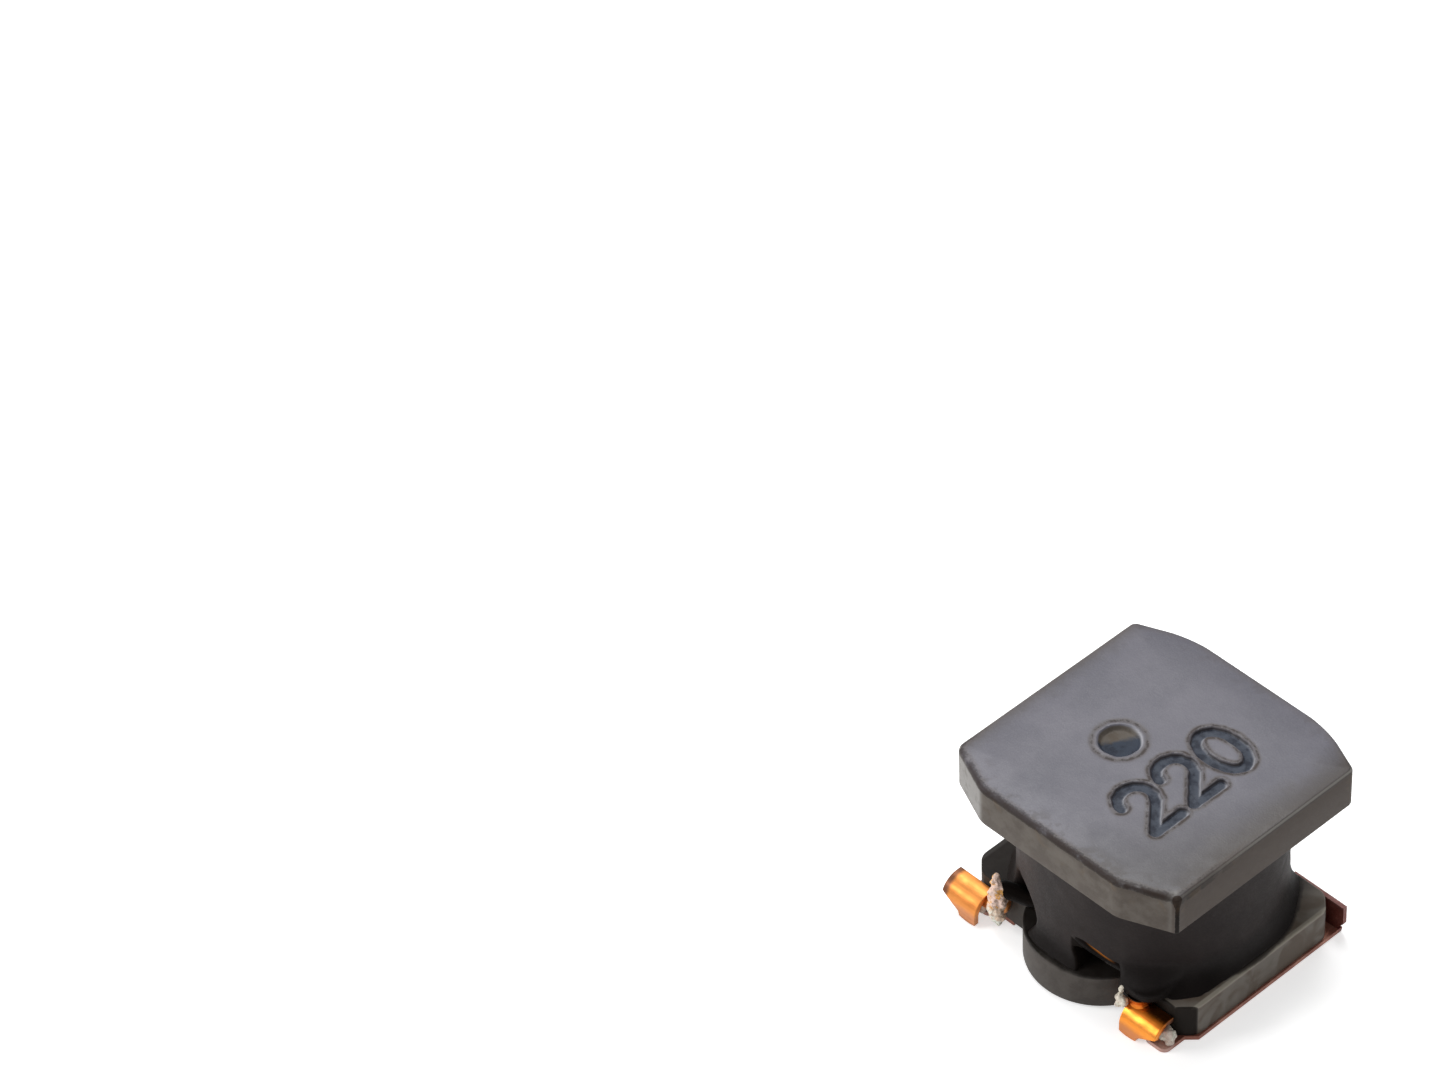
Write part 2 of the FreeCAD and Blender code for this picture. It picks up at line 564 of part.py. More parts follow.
def resin_profile(sketch):
    # One half of the ring's section, from the bore outwards; x is the radius and y the height.
    bore = size["post_diameter"] / 2 + 2 * size["wire_diameter"]
    foot, body_radius = size["foot_diameter"] / 2, size["shield_diameter"] / 2
    low = size["base_thickness"]
    high = size["case_height"] - size["top_thickness"]
    curve = foot - body_radius
    rim = low + size["foot_edge"]
    collar = size["collar"]
    floor = sketch.addGeometry(Part.LineSegment(Vector(bore, low, 0), Vector(foot, low, 0)))
    edge = sketch.addGeometry(Part.LineSegment(Vector(foot, low, 0), Vector(foot, rim, 0)))
    flare_arc = sketch.addGeometry(Part.ArcOfCircle(
        Part.Circle(Vector(foot, rim + curve, 0), Vector(0, 0, 1), curve), math.pi, 1.5 * math.pi))
    wall = sketch.addGeometry(Part.LineSegment(Vector(body_radius, rim + curve, 0),
                                               Vector(body_radius, high - collar, 0)))
    bevel = sketch.addGeometry(Part.LineSegment(Vector(body_radius, high - collar, 0),
                                                Vector(body_radius + collar, high, 0)))
    ceiling = sketch.addGeometry(Part.LineSegment(Vector(body_radius + collar, high, 0), Vector(bore, high, 0)))
    inside = sketch.addGeometry(Part.LineSegment(Vector(bore, high, 0), Vector(bore, low, 0)))
    joins = (((floor, 2), (edge, 1)), ((edge, 2), (flare_arc, 2)), ((flare_arc, 1), (wall, 1)),
             ((wall, 2), (bevel, 1)), ((bevel, 2), (ceiling, 1)), ((ceiling, 2), (inside, 1)),
             ((inside, 2), (floor, 1)))
    for first, second in joins:
        sketch.addConstraint(Sketcher.Constraint("Coincident", *first, *second))
    for line in (floor, ceiling):
        sketch.addConstraint(Sketcher.Constraint("Horizontal", line))
    for line in (edge, wall, inside):
        sketch.addConstraint(Sketcher.Constraint("Vertical", line))
    sketch.addConstraint(Sketcher.Constraint("Vertical", flare_arc, 3, flare_arc, 2))
    sketch.addConstraint(Sketcher.Constraint("Horizontal", flare_arc, 3, flare_arc, 1))
    place(sketch, "DistanceX", (floor, 1), shield_bore)
    place(sketch, "DistanceX", (floor, 2), "Sizes.foot_diameter / 2")
    place(sketch, "DistanceX", (wall, 1), "Sizes.shield_diameter / 2")
    place(sketch, "DistanceX", (ceiling, 1), "Sizes.shield_diameter / 2 + Sizes.collar")
    place(sketch, "DistanceY", (floor, 1), flange_top)
    place(sketch, "DistanceY", (edge, 2), f"{flange_top} + Sizes.foot_edge")
    place(sketch, "DistanceY", (wall, 2), f"{upper_bottom} - Sizes.collar")
    place(sketch, "DistanceY", (ceiling, 1), upper_bottom)


def boot_profile(sketch):
    # Seen from the side: flat below, upright in front, then a quarter round up to the ring.
    face, deep = size["base_width"] / 2, size["boot_depth"]
    low = size["base_thickness"] - size["boot_drop"]
    high = size["base_thickness"] + size["boot_rise"]
    sole = sketch.addGeometry(Part.LineSegment(Vector(-face + deep, low, 0), Vector(-face - deep, low, 0)))
    front = sketch.addGeometry(Part.LineSegment(Vector(-face - deep, low, 0),
                                                Vector(-face - deep, high - deep, 0)))
    shoulder = sketch.addGeometry(Part.ArcOfCircle(
        Part.Circle(Vector(-face, high - deep, 0), Vector(0, 0, 1), deep), 0.5 * math.pi, math.pi))
    roof = sketch.addGeometry(Part.LineSegment(Vector(-face, high, 0), Vector(-face + deep, high, 0)))
    back = sketch.addGeometry(Part.LineSegment(Vector(-face + deep, high, 0), Vector(-face + deep, low, 0)))
    joins = (((sole, 2), (front, 1)), ((front, 2), (shoulder, 2)), ((shoulder, 1), (roof, 1)),
             ((roof, 2), (back, 1)), ((back, 2), (sole, 1)))
    for first, second in joins:
        sketch.addConstraint(Sketcher.Constraint("Coincident", *first, *second))
    for line in (sole, roof):
        sketch.addConstraint(Sketcher.Constraint("Horizontal", line))
    for line in (front, back):
        sketch.addConstraint(Sketcher.Constraint("Vertical", line))
    sketch.addConstraint(Sketcher.Constraint("Vertical", shoulder, 3, shoulder, 1))
    sketch.addConstraint(Sketcher.Constraint("Horizontal", shoulder, 3, shoulder, 2))
    place(sketch, "DistanceX", (sole, 1), f"{recess_face} - Sizes.boot_depth")
    place(sketch, "DistanceX", (sole, 2), f"{recess_face} + Sizes.boot_depth")
    place(sketch, "DistanceX", (roof, 1), recess_face)
    place(sketch, "DistanceY", (sole, 1), f"{flange_top} - Sizes.boot_drop")
    place(sketch, "DistanceY", (roof, 1), f"{flange_top} + Sizes.boot_rise")


def boot_place():
    # The boot keeps its whole width outside the recess face.
    return box("boot_place", (f"{lead_exit} - Sizes.boot_width / 2", f"-{recess_face} - Sizes.boot_depth", "0"),
               ("Sizes.boot_width", "Sizes.boot_depth * 2", "Sizes.case_height"))


def lobe_landing(name, side):
    drum = doc.addObject("Part::Cylinder", name)
    drum.setExpression("Radius", "Sizes.lobe_radius")
    drum.setExpression("Height", "Sizes.case_height")
    drum.setExpression("Placement.Base.y", f"{side} * (Sizes.lobe_reach - Sizes.lobe_radius)")
    return drum


def make_resin(core, left_end, right_end):
    body = new_body("resin_ring")
    section = new_sketch(body, "ring_section", "XZ_Plane")
    resin_profile(section)
    revolve(body, "ring", section)

    # The boot closes over the right lead where it drops past the flange.
    boot_sketch = new_sketch(body, "boot_outline", "YZ_Plane", f"{lead_exit} - Sizes.boot_width / 2")
    boot_profile(boot_sketch)
    boot = pad(body, "boot", boot_sketch, "Sizes.boot_width")
    front = -size["base_width"] / 2
    far = size["base_length"] / 2 - size["lead_inset"] + size["boot_width"] / 2
    round_edges(body, "boot_corner", boot,
                lambda edge: edge.BoundBox.XMin > far - 1e-4 and edge.BoundBox.YMax < front + 1e-4
                and not level_at(edge, edge.BoundBox.ZMin), "Sizes.corner_round")
    doc.recompute()

    window_sketch = new_sketch(body, "window_outline", "XZ_Plane", "Sizes.case_width")
    sill = size["base_thickness"]
    start, peak = size["window_start"], size["window_peak"]
    end = size["base_length"] / 2 - size["lead_inset"] - size["boot_width"] / 2
    corners = [(start, sill), (end, sill), (end, sill + size["window_low"]),
               (peak, sill + size["window_height"])]
    lines = closed_outline(window_sketch, corners)
    window_sketch.addConstraint(Sketcher.Constraint("Horizontal", lines[0]))
    window_sketch.addConstraint(Sketcher.Constraint("Vertical", lines[1]))
    place(window_sketch, "DistanceX", (lines[0], 1), "Sizes.window_start")
    place(window_sketch, "DistanceX", (lines[0], 2), f"{lead_exit} - Sizes.boot_width / 2")
    place(window_sketch, "DistanceX", (lines[3], 1), "Sizes.window_peak")
    place(window_sketch, "DistanceY", (lines[0], 1), flange_top)
    place(window_sketch, "DistanceY", (lines[2], 1), f"{flange_top} + Sizes.window_low")
    place(window_sketch, "DistanceY", (lines[3], 1), f"{flange_top} + Sizes.window_height")
    window = pocket(body, "wire_window", window_sketch, "Sizes.case_width - Sizes.window_back")
    checked_cut(body, window)

    hollow = body.newObject("PartDesign::SubtractiveSphere", "left_hollow")
    hollow.setExpression("Radius", "Sizes.hollow_radius")
    hollow.setExpression("AttachmentOffset.Base.x", "-Sizes.hollow_side")
    hollow.setExpression("AttachmentOffset.Base.y", "-Sizes.hollow_front")
    hollow.setExpression("AttachmentOffset.Base.z", f"{flange_top} + Sizes.hollow_level")
    hollow.AttachmentSupport = [(origin_part(body, "XY_Plane"), "")]
    hollow.MapMode = "FlatFace"
    body.Tip = hollow
    doc.recompute()

    # The foot ends at the lower flange's outline.
    zone = box("foot_zone", ("-Sizes.case_length", "-Sizes.case_width", flange_top),
               ("2 * Sizes.case_length", "2 * Sizes.case_width", f"Sizes.foot_edge + {flare}"))
    plate = box("foot_plate", ("-Sizes.base_length", "-Sizes.base_width / 2", "0"),
                ("2 * Sizes.base_length", "Sizes.base_width", "Sizes.case_height"))
    landing = [plate, lobe_landing("front_landing", -1), lobe_landing("back_landing", 1), boot_place()]
    allowed = fuse("foot_landing", landing)
    trimming = cut("foot_trim", zone, allowed)
    trimmed = cut("trimmed_resin", body, trimming)
    seated = cut("seated_resin", trimmed, core)
    passed = cut("resin_at_left_end", seated, left_end)
    return cut("shield_resin", passed, right_end)


# Terminal strips: bent copper under the flange, upturned at +Y, with a tab below each pressed end


def make_terminal(name, toe_reach):
    body = new_body(name)
    thick = size["strip_thickness"]
    outer = size["base_length"] / 2 + size["strip_overhang"]
    inner = outer - size["strip_width"]
    face = size["base_width"] / 2

    strip_sketch = new_sketch(body, "strip_outline", "XY_Plane")
    corner = size["base_corner"]
    corners = [(inner, face + thick), (inner, -face), (outer - corner, -face), (outer, corner - face),
               (outer, face + thick)]
    lines = closed_outline(strip_sketch, corners)
    strip_sketch.addConstraint(Sketcher.Constraint("Vertical", lines[0]))
    strip_sketch.addConstraint(Sketcher.Constraint("Horizontal", lines[1]))
    strip_sketch.addConstraint(Sketcher.Constraint("Vertical", lines[3]))
    strip_sketch.addConstraint(Sketcher.Constraint("Horizontal", lines[4]))
    place(strip_sketch, "DistanceX", (lines[0], 1), strip_inner)
    place(strip_sketch, "DistanceY", (lines[0], 1), f"{heel_face} + Sizes.strip_thickness")
    place(strip_sketch, "DistanceY", (lines[1], 1), recess_face)
    place(strip_sketch, "DistanceX", (lines[2], 1), f"{strip_outer} - Sizes.base_corner")
    place(strip_sketch, "DistanceX", (lines[2], 2), strip_outer)
    place(strip_sketch, "DistanceY", (lines[2], 2), f"{recess_face} - Sizes.base_corner")
    pad(body, "strip", strip_sketch, "Sizes.strip_thickness")

    heel_sketch = new_sketch(body, "heel_outline", "XZ_Plane", f"-({heel_face} + Sizes.strip_thickness)")
    slant = size["heel_cut"]
    corners = [(inner, 0), (outer - slant / 2, 0), (outer + slant / 2, slant),
               (outer + slant / 2, size["heel_height"]), (inner, size["heel_height"])]
    lines = closed_outline(heel_sketch, corners)
    heel_sketch.addConstraint(Sketcher.Constraint("PointOnObject", lines[0], 1, level_axis))
    heel_sketch.addConstraint(Sketcher.Constraint("Horizontal", lines[0]))
    heel_sketch.addConstraint(Sketcher.Constraint("Horizontal", lines[3]))
    heel_sketch.addConstraint(Sketcher.Constraint("Vertical", lines[2]))
    heel_sketch.addConstraint(Sketcher.Constraint("Vertical", lines[4]))
    place(heel_sketch, "DistanceX", (lines[0], 1), strip_inner)
    place(heel_sketch, "DistanceX", (lines[0], 2), f"{strip_outer} + Sizes.heel_flare - Sizes.heel_cut")
    place(heel_sketch, "DistanceX", (lines[2], 1), f"{strip_outer} + Sizes.heel_flare")
    place(heel_sketch, "DistanceY", (lines[2], 1), "Sizes.heel_cut * 1.3")
    place(heel_sketch, "DistanceY", (lines[3], 1), "Sizes.heel_height")
    pad(body, "heel", heel_sketch, "Sizes.strip_thickness")
    doc.recompute()

    toe_sketch = new_sketch(body, "toe_outline", "XY_Plane")
    right = outer - size["toe_inset"]
    rectangle(toe_sketch,
              f"{strip_outer} - Sizes.toe_inset - Sizes.toe_width", f"{strip_outer} - Sizes.toe_inset",
              f"{recess_face} + {toe_reach}", f"{recess_face} / 2",
              (right - size["toe_width"], right, -face - 0.1, -face / 2))
    toe = pad(body, "toe", toe_sketch, "Sizes.strip_thickness")
    doc.recompute()
    tip = toe.Shape.BoundBox.YMin
    toe_corners = round_edges(body, "toe_corners", toe,
                              lambda edge: upright(edge) and edge.BoundBox.YMax < tip + 1e-4,
                              "Sizes.toe_round")
    doc.recompute()
    back = toe_corners.Shape.BoundBox.YMax
    round_edges(body, "heel_bend", toe_corners,
                lambda edge: level_at(edge, 0) and edge.BoundBox.YMin > back - 1e-4, "Sizes.strip_bend")
    doc.recompute()
    return body


# Solder under each pressed end, and the flux left beside the two leads


def make_bead(name, foot, radius, height, neighbours):
    bead = mound(f"{name}_whole", foot, radius, height)
    for neighbour in neighbours[:-1]:
        bead = cut(f"{name}_at_{neighbour.Name}", bead, neighbour)
    return cut(name, bead, neighbours[-1])


core = make_drum_core()
core.Label = "drum_core"
left_end, right_end = make_wire_ends()
winding = fuse("winding", [make_turns(), left_end, right_end])
resin = make_resin(core, left_end, right_end)
right_strip = make_terminal("terminal_right", "Sizes.toe_right")
left_blank = make_terminal("left_blank", "Sizes.toe_left")
left_strip = doc.addObject("Part::Mirroring", "terminal_left")
left_strip.Source = left_blank
left_strip.Normal = Vector(1, 0, 0)
left_strip.Label = "terminal_left"

solder_y = f"-{recess_face} - Sizes.solder_radius"
solder_z = "Sizes.strip_thickness / 2"
solder_tall = "Sizes.solder_height + Sizes.strip_thickness / 2"
tab_middle = f"({strip_outer} - Sizes.toe_inset - Sizes.toe_width / 2)"
lead_y = f"(-{recess_face} - Sizes.lead_gap - Sizes.wire_diameter / 2)"
made = [
    make_bead("solder_right", (f"{tab_middle} + Sizes.solder_radius / 4", solder_y, solder_z),
              "Sizes.solder_radius", solder_tall, [core, right_end, right_strip]),
    make_bead("solder_left", (f"-{tab_middle}", solder_y, solder_z),
              "Sizes.solder_radius", solder_tall, [core, left_end, left_strip]),
    make_bead("flux_right", (f"{lead_exit} - 1.3 * Sizes.flux_radius", f"{lead_y} - 1.2 * Sizes.flux_radius",
                             "Sizes.ribbon_height - Sizes.ribbon_thickness"),
              "Sizes.flux_radius", "Sizes.flux_height", [resin, right_end]),
    make_bead("flux_left", (f"-{lead_exit} - 0.9 * Sizes.lump_radius", lead_y,
                            "Sizes.ribbon_height - 1.5 * Sizes.ribbon_thickness"),
              "Sizes.lump_radius", "Sizes.lump_height", [core, resin, left_end]),
]

doc.recompute()
nodes = [core, winding, resin, right_strip, left_strip] + made
for item in doc.Objects:
    if "Invalid" in item.State or "Error" in item.State:
        raise ValueError(f"{item.Name} did not build")
for node in nodes:
    shape = node.Shape
    if shape.isNull() or not shape.isValid() or len(shape.Solids) != 1:
        raise ValueError(f"{node.Label} is not one valid solid")
    shape.exportStep(f"parts/{node.Label}.step")
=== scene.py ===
import bmesh
import bpy
import math
from mathutils import Matrix, Vector, noise
from mathutils.geometry import intersect_point_line


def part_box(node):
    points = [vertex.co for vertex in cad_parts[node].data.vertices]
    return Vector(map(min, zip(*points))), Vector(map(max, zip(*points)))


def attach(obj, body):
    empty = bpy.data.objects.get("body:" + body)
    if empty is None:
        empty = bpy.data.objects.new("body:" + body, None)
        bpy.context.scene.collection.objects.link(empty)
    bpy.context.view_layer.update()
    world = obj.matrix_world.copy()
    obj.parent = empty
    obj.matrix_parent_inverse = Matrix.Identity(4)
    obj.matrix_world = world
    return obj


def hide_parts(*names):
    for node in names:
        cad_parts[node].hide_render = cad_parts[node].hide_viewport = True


# Shielded power inductor, 6 mm square. Pieces are modelled in millimetres and scaled to metres at the end.

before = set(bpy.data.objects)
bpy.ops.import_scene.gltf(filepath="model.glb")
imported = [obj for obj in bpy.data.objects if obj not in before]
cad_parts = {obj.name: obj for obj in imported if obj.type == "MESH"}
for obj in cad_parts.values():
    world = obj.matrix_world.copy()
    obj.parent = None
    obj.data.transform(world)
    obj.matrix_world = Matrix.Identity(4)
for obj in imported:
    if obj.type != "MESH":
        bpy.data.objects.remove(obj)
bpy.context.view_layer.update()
mm = 0.001
coreLow, coreHigh = [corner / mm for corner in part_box("drum_core")]
print("frame loaded, core in mm", [round(v, 3) for v in (*coreLow, *coreHigh)])


# Shader helpers: a link that reads as a number in plain expressions, and a surface that holds one material

class Link:
    def __init__(self, surface, socket):
        self.surface = surface
        self.socket = socket

    def __add__(self, other):
        return self.surface.maths("ADD", self, other)

    def __radd__(self, other):
        return self.surface.maths("ADD", other, self)

    def __sub__(self, other):
        return self.surface.maths("SUBTRACT", self, other)

    def __rsub__(self, other):
        return self.surface.maths("SUBTRACT", other, self)

    def __mul__(self, other):
        return self.surface.maths("MULTIPLY", self, other)

    def __rmul__(self, other):
        return self.surface.maths("MULTIPLY", other, self)

    def __abs__(self):
        return self.surface.maths("ABSOLUTE", self)


class Surface:
    def __init__(self, name, **sockets):
        self.material = bpy.data.materials.new(name)
        self.material.use_nodes = True
        self.nodes = self.material.node_tree.nodes
        self.shader = self.nodes["Principled BSDF"]
        for socket, value in sockets.items():
            self.feed(self.shader.inputs[socket.replace("_", " ")], value)

    def feed(self, socket, value):
        if isinstance(value, Link):
            self.material.node_tree.links.new(value.socket, socket)
        elif hasattr(socket.default_value, "__len__") and len(socket.default_value) == 4:
            socket.default_value = (*value[:3], 1.0)
        else:
            socket.default_value = value

    def node(self, kind, settings, output=0, **inputs):
        made = self.nodes.new(kind)
        for name, value in settings.items():
            setattr(made, name, value)
        for name, value in inputs.items():
            key = int(name[1:]) if name[0] == "n" and name[1:].isdigit() else name.replace("_", " ")
            self.feed(made.inputs[key], value)
        return Link(self, made.outputs[output])

    def maths(self, operation, first, second=0.0):
        return self.node("ShaderNodeMath", {"operation": operation}, n0=first, n1=second)

    def most(self, first, second):
        return self.maths("MAXIMUM", first, second)

    def least(self, first, second):
        return self.maths("MINIMUM", first, second)

    def root(self, value):
        return self.maths("SQRT", value)

    def smooth(self, value, start, end):
        # 0 at start, 1 at end, with soft shoulders; start may be the larger of the two
        return self.node("ShaderNodeMapRange", {"interpolation_type": "SMOOTHSTEP"},
                         Value=value, From_Min=start, From_Max=end)

    def place(self, scale=(1.0, 1.0, 1.0)):
        # object coordinates in millimetres
        coordinates = self.node("ShaderNodeTexCoord", {}, "Object")
        return self.node("ShaderNodeMapping", {}, Vector=coordinates, Scale=[v / mm for v in scale])

    def axes(self, vector):
        return [self.node("ShaderNodeSeparateXYZ", {}, index, Vector=vector) for index in range(3)]

    def noise(self, vector, scale, detail, roughness, distortion=0.0):
        return self.node("ShaderNodeTexNoise", {}, 0, Vector=vector, Scale=scale, Detail=detail,
                         Roughness=roughness, Distortion=distortion)

    def blend(self, factor, first, second):
        settings = {"data_type": "RGBA", "blend_type": "MIX", "clamp_factor": True}
        return self.node("ShaderNodeMix", settings, 2, n0=factor, n6=first, n7=second)

    def attribute(self, name):
        return self.node("ShaderNodeAttribute", {"attribute_name": name}, "Fac")

    def relief(self, height, depth, strength):
        bumped = self.node("ShaderNodeBump", {}, 0, Height=height, Distance=depth * mm, Strength=strength)
        self.feed(self.shader.inputs["Normal"], bumped)

    def colour(self, value):
        self.feed(self.shader.inputs["Base Color"], value)

    def rough(self, value):
        self.feed(self.shader.inputs["Roughness"], value)

    def stain(self, factor, colour):
        # a dull coat with little shine over part of the surface, for real stains and for painted shade
        coat = self.nodes.new("ShaderNodeBsdfPrincipled")
        self.feed(coat.inputs["Base Color"], colour)
        coat.inputs["Roughness"].default_value = 0.6
        coat.inputs["IOR"].default_value = 1.12
        clean, dull = Link(self, self.shader.outputs[0]), Link(self, coat.outputs[0])
        mixed = self.node("ShaderNodeMixShader", {}, n0=factor, n1=clean, n2=dull)
        self.feed(self.nodes["Material Output"].inputs["Surface"], mixed)


# Mesh helpers

def finish(bm, name, surface, slotName, replaced, sharpAngle):
    # turns a millimetre bmesh into a finished piece that rides on the part
    bmesh.ops.transform(bm, matrix=Matrix.Scale(mm, 4), verts=bm.verts)
    bmesh.ops.recalc_face_normals(bm, faces=bm.faces)
    mesh = bpy.data.meshes.new(name)
    bm.to_mesh(mesh)
    bm.free()
    mesh.shade_smooth()
    mesh.set_sharp_from_angle(angle=math.radians(sharpAngle))
    piece = bpy.data.objects.new(name, mesh)
    bpy.context.collection.objects.link(piece)
    mesh.materials.append(surface.material)
    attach(piece, "root")
    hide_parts(replaced)
    print("piece", name, len(mesh.polygons), "faces")


def modify(piece, kind, **settings):
    added = piece.modifiers.new(kind.title(), kind)
    for name, value in settings.items():
        setattr(added, name, value)


def bevelEdges(bm, edges, width, segments):
    bmesh.ops.bevel(bm, geom=list(edges), offset=width, offset_type="OFFSET", segments=segments,
                    profile=0.5, affect="EDGES", material=-1, clamp_overlap=True)


def extrudeFace(bm, face, height):
    raised = bmesh.ops.extrude_face_region(bm, geom=[face])["geom"]
    moved = [v for v in raised if isinstance(v, bmesh.types.BMVert)]
    bmesh.ops.translate(bm, vec=(0, 0, height), verts=moved)


def faceOf(bm, points, z):
    return bm.faces.new([bm.verts.new((x, y, z)) for x, y in points])


def isUpright(edge):
    a, b = (v.co for v in edge.verts)
    return abs(a.z - b.z) > 0.9 * edge.calc_length()


def isLevelAt(edge, z):
    return all(abs(v.co.z - z) < 1e-4 for v in edge.verts)


def softStep(value, start, end):
    share = min(max((value - start) / (end - start), 0.0), 1.0)
    return share * share * (3 - 2 * share)


def bell(value, middle, width):
    # 1 at the middle, dying out on both sides
    return math.exp(-((value - middle) / width) ** 2)


def waver(x, y, z, scale):
    # a smooth unevenness between -1 and 1
    return noise.noise(Vector((x, y, z)) * scale)


# Upper flange with the pin-one dimple and the stamped value

flangeValues = {
    "halfWidth": 3.0, "thickness": 0.96, "cornerX": 1.16, "cornerY": 0.50,
    "sideRound": (0.12, 0.50),  # front and back corners of the two wire sides
    "endRound": {(1, -1): 0.05, (-1, -1): 0.16, (1, 1): 0.11, (-1, 1): 0.11},  # by side, right and back being 1
    "topRound": 0.08, "underRound": 0.045, "weld": 0.006,
    "patchSize": (3.9, 4.0), "patchCentre": (0.22, 0.0), "patchSteps": (176, 180),
    "ragged": (0.018, 6.0),  # depth and scale of the uneven outlines
    "dimple": {"centre": (-0.83, -0.14), "radius": 0.47, "floor": 0.36, "depth": 0.11,
               "light": (0.62, 0.78), "litBand": (-0.03, 0.022), "haloBand": (0.09, 0.055)},
    "mark": {"text": "220", "centre": (0.80, 0.0), "height": 1.24, "width": 0.76, "spacing": 0.33,
             "half": 0.118, "depth": 0.08, "wall": 0.06, "lip": 0.006, "lipBand": (0.05, 0.03),
             "light": (0.80, 0.35), "litBand": (-0.012, 0.022), "haloBand": (0.062, 0.042), "haloDepth": 0.004},
}


def digitStroke(digit, width, height):
    # one line of points for a 0 or a 2, from its lower left corner
    if digit == "0":
        turns = [math.tau * step / 20 for step in range(21)]
        return [Vector((width / 2 * (1 + math.cos(turn)), height / 2 * (1 + math.sin(turn)), 0)) for turn in turns]
    radius = width / 2
    turns = [math.radians(170 - 210 * step / 9) for step in range(10)]
    bow = [Vector((radius + radius * math.cos(turn), height - radius + radius * math.sin(turn), 0)) for turn in turns]
    return bow + [Vector((0, 0, 0)), Vector((width, 0, 0))]


def markSegments(mark):
    # the stamped value reads along +Y with its top towards -X
    width, height, gap = mark["width"], mark["height"], mark["spacing"]
    middleX, middleY = mark["centre"]
    pitch = width + gap
    start = -(pitch * len(mark["text"]) - gap) / 2
    segments = []
    for index, digit in enumerate(mark["text"]):
        line = digitStroke(digit, width, height)
        places = [Vector((middleX + height / 2 - p.y, middleY + start + pitch * index + p.x, 0)) for p in line]
        segments += list(zip(places[:-1], places[1:]))
    return segments


def offSegment(point, start, end):
    nearest, share = intersect_point_line(point, start, end)
    nearest = start if share < 0 else end if share > 1 else nearest
    return point - nearest


def facingLight(off, light):
    # how far a wall that falls away along off is turned to the light
    return max(off.normalized().x * light[0] + off.normalized().y * light[1], 0.0)


def pressMarks(verts, layers, values, top):
    # Sinks the dimple and the stamped value. The layers keep for the finish how deep a point lies (groove, pit),
    # how near the rim it is (halo) and whether it catches the light (lit).
    groove, halo, pit, lit = layers
    mark, dimple = values["mark"], values["dimple"]
    depth, scale = values["ragged"]
    segments = markSegments(mark)
    half, wall = mark["half"], mark["wall"]
    for vert in verts:
        flat = Vector((vert.co.x, vert.co.y, 0))
        ragged = depth * waver(flat.x, flat.y, 1.7, scale)
        off = min((offSegment(flat, a, b) for a, b in segments), key=lambda gap: gap.length_squared)
        near = off.length + ragged
        facing = facingLight(off, mark["light"]) if near > 0.01 else 0.0
        vert[groove] = 1 - softStep(near, half - wall / 2, half + wall / 2)
        vert[lit] = facing ** 2 * bell(near - half, *mark["litBand"])
        vert[halo] = bell(near - half, *mark["haloBand"])
        lip = mark["lip"] * bell(near - half, *mark["lipBand"])

        off = flat - Vector((*dimple["centre"], 0))
        past = off.length + 0.9 * ragged - dimple["radius"]
        vert[pit] = 1 - softStep(past, dimple["floor"] - dimple["radius"], 0.0)
        vert[lit] = max(vert[lit], facingLight(off, dimple["light"]) ** 3 * bell(past, *dimple["litBand"]))
        vert[halo] = max(vert[halo], bell(past, *dimple["haloBand"]))
        sunk = mark["depth"] * vert[groove] + dimple["depth"] * vert[pit] + mark["haloDepth"] * vert[halo]
        vert.co.z = min(vert.co.z - sunk + lip, top)


